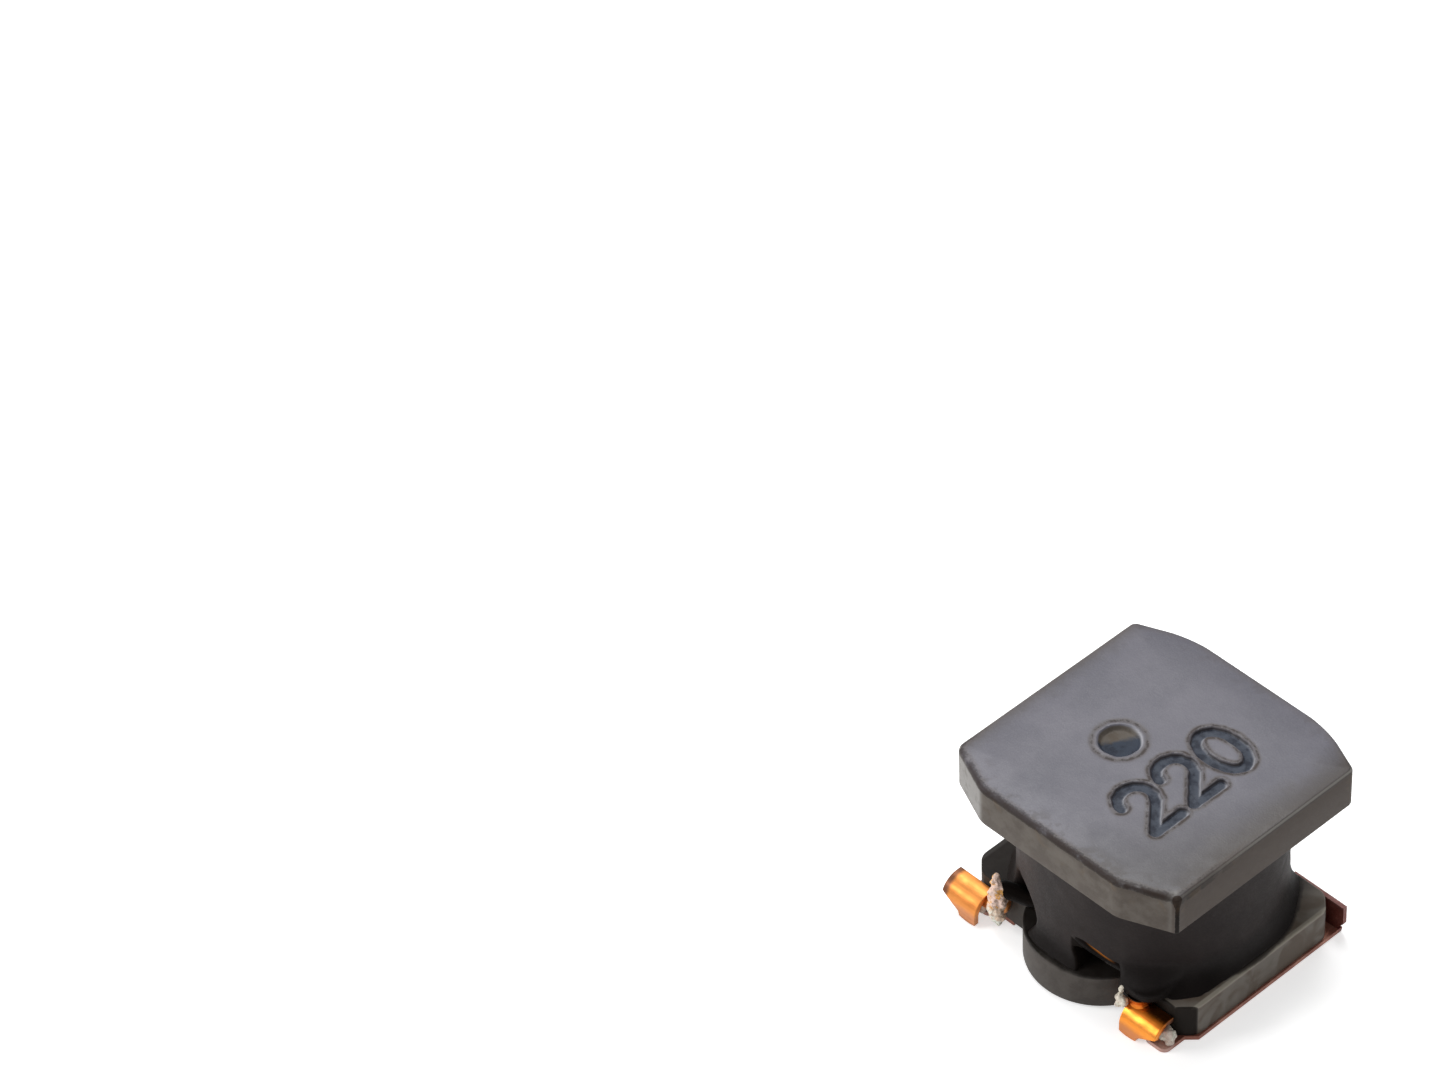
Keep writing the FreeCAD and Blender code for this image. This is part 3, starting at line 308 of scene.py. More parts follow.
def makeUpperFlange(values, surface):
    bm = bmesh.new()
    layers = [bm.verts.layers.float.new(name) for name in ("groove", "halo", "pit", "lit")]
    top, low = coreHigh.z, coreHigh.z - values["thickness"]
    halfX, halfY, cutX, cutY = coreHigh.x, values["halfWidth"], values["cornerX"], values["cornerY"]
    corners = [(-halfX + cutX, -halfY), (halfX - cutX, -halfY), (halfX, -halfY + cutY), (halfX, halfY - cutY),
               (halfX - cutX, halfY), (-halfX + cutX, halfY), (-halfX, halfY - cutY), (-halfX, -halfY + cutY)]
    extrudeFace(bm, faceOf(bm, corners, low), top - low)
    uprights = [e for e in bm.edges if isUpright(e)]
    sideEdges = [e for e in uprights if abs(e.verts[0].co.y) > halfY - 0.01]
    endEdges = [e for e in uprights if abs(e.verts[0].co.x) > halfX - 0.01]
    for back, width in enumerate(values["sideRound"]):
        chosen = [e for e in sideEdges if e.is_valid and (e.verts[0].co.y > 0) == bool(back)]
        bevelEdges(bm, chosen, width, 10)
    for (right, back), width in values["endRound"].items():
        chosen = [e for e in endEdges if e.is_valid and e.verts[0].co.x * right > 0 and e.verts[0].co.y * back > 0]
        bevelEdges(bm, chosen, width, 6)
    bevelEdges(bm, [e for e in bm.edges if isLevelAt(e, top)], values["topRound"], 4)
    bevelEdges(bm, [e for e in bm.edges if isLevelAt(e, low)], values["underRound"], 3)
    bmesh.ops.remove_doubles(bm, verts=bm.verts, dist=values["weld"])
    roof = max(bm.faces, key=lambda face: face.calc_center_median().z * 10 + face.calc_area())
    bmesh.ops.delete(bm, geom=[roof], context="FACES_ONLY")

    # a fine patch in the middle of the top carries the dimple and the stamped value
    stepsX, stepsY = values["patchSteps"]
    patch = bmesh.ops.create_grid(bm, x_segments=stepsX, y_segments=stepsY, size=0.5)["verts"]
    bmesh.ops.scale(bm, vec=(*values["patchSize"], 1), verts=patch)
    bmesh.ops.translate(bm, vec=(*values["patchCentre"], top), verts=patch)
    rim = [e for e in bm.edges if len(e.link_faces) == 1]
    bmesh.ops.triangle_fill(bm, edges=rim, use_beauty=True, normal=(0, 0, 1))
    pressMarks(patch, layers, values, top)
    finish(bm, "upperFlange", surface, "ferrite", "drum_core", 28.0)


# Lower flange with its lobes, and the hidden post

baseValues = {
    "width": 4.4, "thickness": 0.85, "corner": 0.35, "cornerRound": 0.12, "rimRound": 0.055,
    "lobeRadius": 1.56, "lobeReach": 3.05, "lobeSteps": 40, "postRadius": 1.5, "postHeight": 3.0, "postSunk": 0.1,
}


def makeLowerFlange(values, surface):
    bm = bmesh.new()
    low, top = coreLow.z, coreLow.z + values["thickness"]
    halfX, halfY, corner = coreHigh.x, values["width"] / 2, values["corner"]
    radius, steps = values["lobeRadius"], values["lobeSteps"]
    centre = values["lobeReach"] - radius
    reach = math.acos((halfY - centre) / radius)
    outline = []
    for side in (-1, 1):
        arc = [reach * (2 * step / steps - 1) for step in range(steps + 1)]
        outline += [(-side * radius * math.sin(turn), side * (centre + radius * math.cos(turn))) for turn in arc]
        outline += [(-side * (halfX - corner), side * halfY), (-side * halfX, side * (halfY - corner))]
        outline += [(-side * halfX, -side * (halfY - corner)), (-side * (halfX - corner), -side * halfY)]
    extrudeFace(bm, faceOf(bm, outline, low), top - low)
    sideCorners = [e for e in bm.edges if isUpright(e) and abs(e.verts[0].co.x) > halfX - corner - 0.01]
    bevelEdges(bm, sideCorners, values["cornerRound"], 4)
    bevelEdges(bm, [e for e in bm.edges if isLevelAt(e, top) or isLevelAt(e, low)], values["rimRound"], 3)
    post = bmesh.ops.create_cone(bm, cap_ends=True, segments=48, radius1=values["postRadius"],
                                 radius2=values["postRadius"], depth=values["postHeight"])["verts"]
    bmesh.ops.translate(bm, vec=(0, 0, top + values["postHeight"] / 2 - values["postSunk"]), verts=post)
    finish(bm, "lowerFlange", surface, "ferrite", "drum_core", 28.0)


# Magnetic resin: a slightly uneven ring that flares to the flange, with the boot over the right lead

resinValues = {
    "radius": 2.73, "low": 0.885, "high": 3.46, "bore": 2.29, "collar": 0.12,
    "around": 300, "levels": 84, "levelBias": 1.35, "voxel": 0.034, "smoothing": 5,
    "waver": ((0.022, 0.9), (0.008, 4.0)),  # depth and scale of the unevenness
    "foot": {"rim": 0.02, "height": 0.46, "radius": 2.98, "side": 2.97, "corner": 3.42, "sideFade": (0.10, 0.55),
             "lobeCentre": 1.49, "lobeRadius": 1.54, "edge": 2.2},
    "window": {"x": (0.38, 0.74, 1.46), "z": (1.37, 1.43, 1.03), "foot": 0.80, "back": 2.33, "soft": 0.03},
    "hollow": {"angle": -118.0, "height": 1.22, "wide": 0.66, "tall": 0.60, "back": 2.34, "fade": (0.62, 1.05)},
    "boot": {"x": (1.50, 2.34), "y": (-2.56, -1.75), "z": (0.86, 1.06), "top": 1.42, "corner": 0.42, "power": 7.0},
}


def footReach(angle, foot):
    # how far the resin spreads in that direction, kept on the lobes and on the flange's straight edges
    x, y = math.cos(angle), math.sin(angle)
    reach = foot["radius"]
    if x > 0.5:
        reach += (min(foot["side"] / x, foot["corner"]) - reach) * (1 - softStep(y, *foot["sideFade"]))
    centre, radius = foot["lobeCentre"], foot["lobeRadius"]
    along = abs(y) * centre
    lobe = along + math.sqrt(max(along * along - centre * centre + radius * radius, 0.0))
    return min(reach, max(lobe, foot["edge"] / max(abs(y), 0.01)))


def windowOpen(x, z, window):
    # the wedge-shaped window beside the boot: 1 inside it, 0 in the solid ring
    start, peak, end = window["x"]
    tip, high, low = window["z"]
    soft = window["soft"]
    if not start < x < end + soft:
        return 0.0
    share = (x - start) / (peak - start)
    upper = tip + (high - tip) * share if x < peak else high + (low - high) * (x - peak) / (end - peak)
    lower = tip + (window["foot"] - tip) * share
    return (1 - softStep(z, upper - 0.04, upper)) * softStep(z, lower - soft, lower + soft)


def bootBulge(angle, z, radius, boot):
    # how far the boot stands out of the ring, with a round shoulder that dies out upwards
    x, y = math.cos(angle), math.sin(angle)
    if x < 0.05 or y > -0.05:
        return 0.0
    power, start = boot["power"], boot["x"][0]
    corner = ((y / boot["y"][0]) ** power + (x / boot["x"][1]) ** power) ** (-1 / power)
    begun = softStep(corner * x, start - 0.02, start + 0.05)
    return max(corner - radius, 0.0) * begun * (1 - softStep(z, boot["z"][1], boot["top"]))


def resinRadius(angle, z, values):
    foot, window, hollow = values["foot"], values["window"], values["hollow"]
    share = max(1 - (z - values["low"] - foot["rim"]) / foot["height"], 0.0)
    flare = 1 - math.sqrt(max(1 - min(share, 1.0) ** 2, 0.0))
    radius = values["radius"] + (footReach(angle, foot) - values["radius"]) * flare
    radius += values["collar"] * max(1 - (values["high"] - z) / values["collar"], 0.0) ** 2
    radius += bootBulge(angle, z, radius, values["boot"])
    x, y = radius * math.cos(angle), radius * math.sin(angle)
    radius += sum(depth * waver(x, y, z, scale) for depth, scale in values["waver"])
    if y < 0:
        radius -= (radius - window["back"]) * windowOpen(x, z, window)
    turn = (math.degrees(angle) - hollow["angle"] + 180) % 360 - 180
    away = math.hypot(math.radians(turn) * radius / hollow["wide"], (z - hollow["height"]) / hollow["tall"])
    return radius - (radius - hollow["back"]) * (1 - softStep(away, *hollow["fade"]))


def makeResin(values, surface):
    bm = bmesh.new()
    bmesh.ops.create_cone(bm, cap_ends=False, segments=values["around"], radius1=1, radius2=1, depth=1)
    bmesh.ops.subdivide_edges(bm, edges=[e for e in bm.edges if isUpright(e)], cuts=values["levels"])
    low, high = values["low"], values["high"]
    for vert in bm.verts:
        angle = math.atan2(vert.co.y, vert.co.x)
        z = low + (high - low) * (vert.co.z + 0.5) ** values["levelBias"]
        radius = resinRadius(angle, z, values)
        vert.co = (radius * math.cos(angle), radius * math.sin(angle), z)
    bmesh.ops.holes_fill(bm, edges=[e for e in bm.edges if e.is_boundary], sides=0)

    # the boot's lower part is a block that the remesh melts into the ring
    boot = values["boot"]
    (x0, x1), (y0, y1), (z0, z1) = boot["x"], boot["y"], boot["z"]
    block = bmesh.ops.create_cube(bm, size=1)["verts"]
    bmesh.ops.scale(bm, vec=(x1 - x0, y1 - y0, z1 - z0), verts=block)
    bmesh.ops.translate(bm, vec=((x0 + x1) / 2, (y0 + y1) / 2, (z0 + z1) / 2), verts=block)
    outer = [e for e in {e for v in block for e in v.link_edges} if isUpright(e)
             and e.verts[0].co.x > x1 - 0.01 and e.verts[0].co.y < y0 + 0.01]
    bevelEdges(bm, outer, boot["corner"], 6)

    mesh = bpy.data.meshes.new("resinForm")
    bmesh.ops.recalc_face_normals(bm, faces=bm.faces)
    bm.to_mesh(mesh)
    bm.free()
    form = bpy.data.objects.new("resinForm", mesh)
    bpy.context.collection.objects.link(form)
    modify(form, "REMESH", mode="VOXEL", voxel_size=values["voxel"])
    modify(form, "SMOOTH", factor=0.5, iterations=values["smoothing"])
    melted = bpy.data.meshes.new_from_object(form.evaluated_get(bpy.context.evaluated_depsgraph_get()))
    bpy.data.objects.remove(form)
    shaped = bmesh.new()
    shaped.from_mesh(melted)

    # the bore that holds the turns
    inside = [v for v in shaped.verts if v.co.xy.length < values["bore"]]
    bmesh.ops.delete(shaped, geom=inside, context="VERTS")
    rims = [e for e in shaped.edges if e.is_boundary]
    for vert in {v for e in rims for v in e.verts}:
        vert.co.xy = vert.co.xy.normalized() * values["bore"]
    bmesh.ops.bridge_loops(shaped, edges=rims)
    finish(shaped, "resinRing", surface, "magnetic_resin", "shield_resin", 60.0)


# Winding: hidden turns, the two leads and their pressed ends

wireDiameter = 0.38
turnsValues = {"count": 6, "overlap": 0.01, "postRadius": 1.5, "clearance": 0.02, "flangeTop": 0.90}


def makeTurns(values, surface):
    # the hidden stack of bonded turns, as one spun section
    bm = bmesh.new()
    half, pitch = wireDiameter / 2, wireDiameter - values["overlap"]
    inner, low = values["postRadius"] + values["clearance"], values["flangeTop"] + values["clearance"]
    outer = inner + half + pitch
    points = [Vector((inner, 0, low)), Vector((inner + 2 * half, 0, low)), Vector((inner + 2 * half, 0, low + pitch))]
    for turn in range(1, values["count"]):
        middle = low + half + pitch * turn
        points += [Vector((outer + half * math.cos(a), 0, middle + half * math.sin(a)))
                   for a in [math.radians(-72 + 24 * step) for step in range(7)]]
    points.append(Vector((inner, 0, points[-1].z)))
    line = [bm.verts.new(p) for p in points]
    edges = [bm.edges.new(pair) for pair in zip(line, line[1:] + line[:1])]
    bmesh.ops.spin(bm, geom=line + edges, cent=(0, 0, 0), axis=(0, 0, 1), angle=math.tau, steps=72, use_merge=True)
    finish(bm, "coilTurns", surface, "copper_wire", "winding", 50.0)


leadValues = {
    "leftLead": [(0.5, -1.64, 1.11), (-0.9, -2.06, 1.11), (-1.82, -2.34, 1.11), (-1.94, -2.34, 1.01),
                 (-1.94, -2.32, 0.63), (-2.00, -2.32, 0.43), (-2.46, -2.32, 0.43)],
    "rightLead": [(-0.4, -2.0, 1.84), (0.1, -2.47, 1.73), (0.5, -2.53, 1.62), (0.8, -2.44, 1.48),
                  (1.2, -2.25, 1.27), (1.5, -2.13, 1.12), (1.86, -2.26, 1.0), (1.92, -2.34, 0.86), (1.92, -2.34, 0.6)],
}


def makeLead(name, route, surface):
    # a round wire along a smooth curve through the route's points
    curve = bpy.data.curves.new("route", "CURVE")
    curve.dimensions = "3D"
    curve.resolution_u = 14
    spline = curve.splines.new("NURBS")
    spline.points.add(len(route) - 1)
    for point, place in zip(spline.points, route):
        point.co = (*place, 1.0)
    spline.order_u = 3
    spline.use_endpoint_u = True
    curve.bevel_depth = wireDiameter / 2
    curve.bevel_resolution = 5
    curve.use_fill_caps = True
    holder = bpy.data.objects.new("route", curve)
    bm = bmesh.new()
    bm.from_mesh(bpy.data.meshes.new_from_object(holder))
    bpy.data.objects.remove(holder)
    finish(bm, name, surface, "copper_wire", "winding", 50.0)


neckValues = {
    "centre": (1.90, -2.37, 0.72), "footRadius": 0.33, "headRadius": 0.24, "height": 0.36, "footDepth": 0.72,
    "axis": (1.92, -2.34), "waist": 0.22, "waistFrom": 0.52,
}


def makeNeck(values, surface):
    # the neck widens where the press starts to flatten the right wire
    bm = bmesh.new()
    height, (axisX, axisY) = values["height"], values["axis"]
    neck = bmesh.ops.create_cone(bm, cap_ends=True, segments=32, radius1=values["footRadius"],
                                 radius2=values["headRadius"], depth=height)["verts"]
    bmesh.ops.scale(bm, vec=(1.0, values["footDepth"], 1.0), verts=[v for v in neck if v.co.z < 0])
    bmesh.ops.translate(bm, vec=values["centre"], verts=neck)
    bmesh.ops.subdivide_edges(bm, edges=[e for e in bm.edges if isUpright(e)], cuts=6)
    for vert in bm.verts:
        share = min(max((vert.co.z - values["waistFrom"]) / height, 0), 1)
        waist = 1 - values["waist"] * math.sin(math.pi * share)
        vert.co.x = axisX + (vert.co.x - axisX) * waist
        vert.co.y = axisY + (vert.co.y - axisY) * waist
    finish(bm, "rightNeck", surface, "copper_wire", "winding", 50.0)


ribbonValues = {
    "rightPressedEnd": (1.76, 2.70), "leftPressedEnd": (-2.26, -3.20),  # inner and outer end along X
    "top": 0.68, "radius": 0.45, "thickness": 0.12, "back": -2.235, "axisY": -2.35, "edge": 0.022,
    "tongueWidth": 0.46, "tongueFoot": 0.02, "tongueBow": 0.12,
    "skirtFoot": 0.14, "skirtRise": 0.26, "skirtCurve": 0.8,
    "stations": 32, "steps": 26, "waver": (0.006, 4.0),
}


def ribbonFoot(along, span, values):
    # height of the ribbon's lower edge: a narrow tail first, then an edge that rises towards the far end
    tongue = values["tongueWidth"]
    if along <= tongue:
        return values["tongueFoot"] + values["tongueBow"] * (along / tongue - 0.5) ** 2
    return values["skirtFoot"] + values["skirtRise"] * ((along - tongue) / (span - tongue)) ** values["skirtCurve"]


def makeRibbon(name, values, surface):
    # the flattened end of a wire, bent down beside the recess
    bm = bmesh.new()
    start, end = values[name]
    span, away = abs(end - start), 1 if end > start else -1
    radius, axisY, axisZ = values["radius"], values["axisY"], values["top"] - values["radius"]
    quarter = 0.5 * math.pi * radius
    depth, scale = values["waver"]
    rows = []
    for station in range(values["stations"] + 1):
        along = span * station / values["stations"]
        foot = ribbonFoot(along, span, values)
        length = quarter + axisZ - foot if foot < axisZ else radius * math.acos((foot - axisZ) / radius)
        x = start + away * along
        row = [bm.verts.new((x, values["back"], values["top"]))]
        for step in range(values["steps"] + 1):
            path = length * step / values["steps"]
            turn = min(path / radius, 0.5 * math.pi)
            wave = depth * waver(along, path, 1.0, scale)
            row.append(bm.verts.new((x, axisY - (radius - 0.002 + wave) * math.sin(turn),
                                     axisZ + (radius + wave) * math.cos(turn) - max(path - quarter, 0.0))))
        rows.append(row)
    for row, following in zip(rows[:-1], rows[1:]):
        for corners in zip(row[:-1], row[1:], following[1:], following[:-1]):
            bm.faces.new(corners)
    bmesh.ops.recalc_face_normals(bm, faces=bm.faces)
    upwards = max(bm.faces, key=lambda face: face.calc_center_median().z).normal.z > 0
    inwards = values["thickness"] if upwards else -values["thickness"]
    bmesh.ops.solidify(bm, geom=list(bm.faces), thickness=inwards)
    bmesh.ops.recalc_face_normals(bm, faces=bm.faces)
    bevelEdges(bm, [e for e in bm.edges if e.is_manifold and e.calc_face_angle(0) > math.radians(60)],
               values["edge"], 3)
    finish(bm, name, surface, "copper_wire", "winding", 50.0)


# Solder under the pressed ends, and the crumbs of flux beside the leads

crumbRough = ((0.42, 7.0), (0.22, 17.0))  # depth and scale of the lumps' roughness
crumbValues = [
    {"name": "rightSolder", "node": "solder_right", "slot": "solder",
     "lumps": [((2.64, -2.36, 0.27), 0.17), ((2.75, -2.37, 0.32), 0.12), ((2.76, -2.42, 0.42), 0.08),
               ((2.76, -2.42, 0.18), 0.09)]},
    {"name": "leftSolder", "node": "solder_left", "slot": "solder",
     "lumps": [((-2.58, -2.42, 0.27), 0.20), ((-2.44, -2.40, 0.24), 0.15)]},
    {"name": "rightFlux", "node": "flux_right", "slot": "flux",
     "lumps": [((1.69, -2.62, 0.72), 0.12), ((1.63, -2.64, 0.80), 0.09), ((1.64, -2.70, 0.64), 0.08),
               ((1.60, -2.58, 0.92), 0.06), ((1.61, -2.56, 1.00), 0.04)]},
    {"name": "leftFlux", "node": "flux_left", "slot": "flux",
     "lumps": [((-1.90, -2.50, 0.34), 0.13), ((-1.84, -2.52, 0.44), 0.13), ((-2.00, -2.50, 0.50), 0.15),
               ((-1.88, -2.52, 0.60), 0.15), ((-1.92, -2.50, 0.76), 0.17), ((-1.88, -2.50, 0.92), 0.18),
               ((-1.93, -2.48, 1.08), 0.17), ((-1.98, -2.45, 1.24), 0.12), ((-2.02, -2.43, 1.37), 0.07),
               ((-1.76, -2.50, 0.86), 0.10), ((-2.02, -2.46, 0.90), 0.13)]},
]


def makeCrumb(values, surface):
    bm = bmesh.new()
    for centre, radius in values["lumps"]:
        ball = bmesh.ops.create_icosphere(bm, subdivisions=4, radius=radius)["verts"]
        for vert in ball:
            spot = vert.co + Vector(centre)
            vert.co *= 1 + sum(depth * waver(*spot, scale) for depth, scale in crumbRough)
        bmesh.ops.translate(bm, vec=centre, verts=ball)
    finish(bm, values["name"], surface, values["slot"], values["node"], 40.0)


# Finishes; their places are in millimetres of the object's own coordinates

ferriteColours = {
    "top": ((0.104, 0.102, 0.125), (0.128, 0.124, 0.149)), "grain": (0.165, 0.160, 0.180),
    "brushed": (0.088, 0.088, 0.108), "front": (0.056, 0.051, 0.053), "rightBrown": (0.044, 0.035, 0.029),
    "leftBrown": (0.060, 0.050, 0.042), "side": ((0.026, 0.021, 0.017), (0.060, 0.054, 0.047)),
    "sideGrain": (0.080, 0.066, 0.051), "sideEnd": (0.015, 0.011, 0.009), "rim": (0.050, 0.038, 0.030),
    "band": (0.130, 0.121, 0.107), "rust": (0.105, 0.068, 0.034), "glint": (0.26, 0.25, 0.23),
    "corner": (0.21, 0.205, 0.195), "facet": (0.27, 0.26, 0.25), "chip": (0.50, 0.48, 0.44),
    "base": (0.135, 0.115, 0.094), "baseRimRight": (0.30, 0.27, 0.23), "baseRimLeft": (0.24, 0.23, 0.22),
    "halo": (0.060, 0.051, 0.047), "groove": ((0.010, 0.015, 0.030), (0.046, 0.057, 0.080)),
    "pit": ((0.075, 0.058, 0.042), (0.100, 0.085, 0.070)), "pitShade": ((0.004, 0.009, 0.022), (0.018, 0.028, 0.048)),
    "lit": (0.42, 0.42, 0.45), "stain": ((0.009, 0.0065, 0.0055), (0.040, 0.023, 0.012)),
    "rimStain": (0.027, 0.017, 0.012), "dust": ((0.102, 0.079, 0.062), (0.146, 0.122, 0.101)),
    "dustRight": (0.078, 0.052, 0.040), "dustBase": (0.060, 0.053, 0.051),
    "earth": ((0.150, 0.112, 0.082), (0.275, 0.250, 0.220)), "earthRim": (0.50, 0.46, 0.38),
}


def makeFerrite(ink):
    surface = Surface("ferrite", Metallic=0.0, IOR=1.46)
    smooth, blend = surface.smooth, surface.blend
    place = surface.place()
    x, y, z = surface.axes(place)
    broad = surface.noise(place, 0.75, 3.0, 0.55)
    patchy = surface.noise(place, 2.6, 4.0, 0.6)
    grain = surface.noise(place, 26.0, 2.0, 0.6)
    blotchy = surface.noise(place, 1.6, 2.0, 0.5, 0.8)
    brushed = surface.noise(surface.place((1.0, 5.0, 1.0)), 9.0, 3.0, 0.6)
    body = blend(smooth(broad, 0.35, 0.68), *ink["top"])
    body = blend(smooth(grain, 0.40, 0.75) * 0.25, body, ink["grain"])
    body = blend(smooth(brushed, 0.55, 0.80) * 0.20, body, ink["brushed"])
    # painted shade: the top darkens towards its front corner
    body = blend(smooth(x * 0.80 - y * 0.50, 0.8, 3.2) * 0.80, body, ink["front"])
    browned = smooth(3.0 - x + (patchy - 0.5) * 0.7, 0.95, 0.05) * smooth(y, -2.9, -0.8)
    body = blend(browned * 0.85, body, ink["rightBrown"])
    browned = smooth(3.0 + x + (patchy - 0.5) * 0.7, 0.45, 0.0)
    body = blend(browned * 0.5, body, ink["leftBrown"])

    # the sides are browner and darker than the ground top
    isTop = smooth(z, 4.30, 4.385)
    side = blend(smooth(patchy, 0.38, 0.62), *ink["side"])
    side = blend(smooth(grain, 0.45, 0.80) * 0.35, side, ink["sideGrain"])
    side = blend(smooth(abs(x), 2.90, 2.99) * 0.6, side, ink["sideEnd"])
    body = blend(isTop, side, body)

    # a worn brown line follows the top's rim, strongest on the front
    fromCorner = 3.483 - (abs(x) * 0.396 + abs(y) * 0.918)
    rim = surface.least(surface.least(3.0 - abs(x), 3.0 - abs(y)), fromCorner)
    nearFront = smooth(y * -1.0 + x * 0.25, 0.6, 2.6) * 0.55 + 0.40
    ragged = rim + (patchy - 0.5) * 0.26 + (grain - 0.5) * 0.10
    inner = smooth(ragged, 0.62, 0.20) * smooth(patchy, 0.50, 0.62) * isTop
    body = blend(inner * nearFront * 0.5, body, ink["rim"])
    onRight = smooth(x, 2.86, 2.92)
    height = z + (grain - 0.5) * 0.06 + (patchy - 0.5) * 0.10 + onRight * 0.09
    line = smooth(ragged, 0.22, 0.05) * smooth(height, 4.24, 4.34)
    broken = smooth(patchy + nearFront * 0.12, 0.38, 0.60) * 0.58 + 0.26
    stained = line * broken * (nearFront - onRight * 0.35)
    band = smooth(height, 3.90, 4.05) * smooth(height, 4.27, 4.18)
    body = blend(band * (1 - onRight) * smooth(broad, 0.42, 0.60) * 0.75, body, ink["band"])
    rust = smooth(blotchy, 0.56, 0.66) * smooth(height, 3.70, 4.15) * (1 - isTop)
    body = blend(rust * (0.15 + nearFront * 0.5), body, ink["rust"])
    glint = smooth(z, 4.35, 4.37) * smooth(z, 4.398, 4.385) * smooth(abs(x), 2.90, 2.95)
    body = blend(glint * 0.7, body, ink["glint"])

    # a dark line runs down the front corner
    upper = smooth(z, 3.4, 3.5)
    cornerX, cornerY = x - 2.985, y + 2.49
    fromEdge = surface.root(cornerX * cornerX + cornerY * cornerY) - smooth(z, 4.10, 4.36) * 0.07
    body = blend(smooth(fromEdge, 0.24, 0.10) * (1 - onRight * 0.8) * upper * 0.55, body, ink["corner"])
    stained = surface.most(stained, smooth(fromEdge + (grain - 0.5) * 0.03, 0.055, 0.035) * upper * 0.92)

    # painted reflection: the left corner's face is lightened where it mirrors the floor, with a bright chip at its top
    facet = smooth(y - x * 0.5, -0.60, -1.10) * smooth(x, -1.76, -1.92) * (1 - isTop)
    facet = facet * (smooth(patchy, 0.36, 0.52) * 0.35 + 0.50) * smooth(z, 3.3, 3.4)
    body = blend(facet, body, ink["facet"])
    chipX, chipY, chipZ = x + 2.975, y + 2.49, z - 4.36
    fromChip = surface.root(chipX * chipX + chipY * chipY + chipZ * chipZ) + (grain - 0.5) * 0.05
    body = blend(smooth(fromChip, 0.09, 0.05), body, ink["chip"])

    # painted light: the lower flange is lighter along its right side, with painted highlights along its rims, and
    # resin has run over its upper face
    lower = smooth(z, 1.2, 1.0)
    body = blend(smooth(x, 2.1, 2.6) * lower * 0.65, body, ink["base"])
    body = blend(smooth(x, 2.88, 2.94) * lower * smooth(z, 0.80, 0.86) * 0.6, body, ink["baseRimRight"])
    body = blend(smooth(x, -2.84, -2.90) * lower * smooth(z, 0.80, 0.86) * 0.7, body, ink["baseRimLeft"])
    below = smooth(z, 1.2, 1.1)
    smear = smooth(x, -1.5, -2.1) * smooth(z + (patchy - 0.5) * 0.5, 0.30, 0.48) * below
    stained = surface.most(stained, smear * 0.5)
    # resin film on the lower flange's upper face near the ring, darkened also as painted shade under the upper flange
    reach = surface.root(x * x + y * y) + (patchy - 0.5) * 0.14 - smooth(x, -0.9, -2.0) * 1.2
    stained = surface.most(stained, smooth(z, 0.80, 0.88) * below * smooth(reach, 3.12, 2.86) * 0.85)
    shaded = surface.most(smooth(x - y, 4.79, 4.83), smooth(y, -2.12, -2.17) * smooth(x, 1.25, 1.5))
    stained = surface.most(stained, shaded * below * 0.9)

    # the stamped value and the dimple
    groove, halo, pit, lit = (surface.attribute(name) for name in ("groove", "halo", "pit", "lit"))
    mottled = surface.noise(place, 4.6, 3.0, 0.6)
    worn = smooth(mottled + (grain - 0.5) * 0.2, 0.34, 0.60)
    stained = surface.most(stained, halo * smooth(mottled + (grain - 0.5) * 0.3, 0.30, 0.60) * 0.66)
    body = blend(halo * 0.6, body, ink["halo"])
    sunk = smooth(groove, 0.10, 0.80)
    body = blend(sunk * 0.95, body, blend(worn, *ink["groove"]))
    # painted shade on the groove walls that are turned from the light
    wall = smooth(groove, 0.12, 0.35) * smooth(groove, 0.90, 0.55) * (1 - lit)
    stained = surface.most(stained, wall * 0.55)
    shade = smooth(x * 0.80 - y * 0.52 + (mottled - 0.5) * 0.25, -0.74, -0.60)
    floor = blend(shade, blend(worn, *ink["pit"]), blend(worn, *ink["pitShade"]))
    hollow = smooth(pit, 0.08, 0.40)
    body = blend(hollow * 0.97, body, floor)
    surface.colour(blend(lit, body, ink["lit"]))

    # dark stains together with painted shade, and a thin coat of dust on the sides
    dark = blend(smooth(mottled, 0.42, 0.66) * smooth(z, 3.9, 4.2), *ink["stain"])
    dark = blend(smooth(z, 4.20, 4.30) * (1 - halo) * (1 - sunk), dark, ink["rimStain"])
    dusty = (1 - isTop) * (1 - sunk) * (1 - hollow) * (1 - facet * 0.8) * 0.55
    dust = blend(smooth(patchy, 0.32, 0.68), *ink["dust"])
    dust = blend(onRight * 0.6, dust, ink["dustRight"])
    dust = blend(lower * 0.6, dust, ink["dustBase"])
    # painted light: the coat is lighter on the lower flange's right side, with a painted highlight on its rim
    earth = blend(smooth(blotchy, 0.38, 0.62), *ink["earth"])
    dust = blend(lower * smooth(x, 2.1, 2.6) * 0.9, dust, earth)
    dust = blend(lower * smooth(z, 0.83, 0.87) * smooth(x, 2.90, 2.94) * 0.8, dust, ink["earthRim"])
    surface.stain(surface.most(stained, dusty), blend(smooth(stained, 0.20, 0.55), dust, dark))
    surface.rough(smooth(patchy, 0.2, 0.8) * 0.14 + 0.36 + (1 - isTop) * 0.06 + (sunk + hollow) * 0.25)
    surface.relief(grain * 0.5 + patchy * 0.8 + brushed * 0.25, 0.012, 0.5)
    return surface


resinColours = {
    "body": ((0.015, 0.0105, 0.0100), (0.023, 0.0170, 0.0160)), "grain": (0.034, 0.028, 0.025),
    "left": (0.030, 0.0175, 0.0140), "foot": (0.008, 0.0065, 0.006), "deep": (0.006, 0.004, 0.003),
}


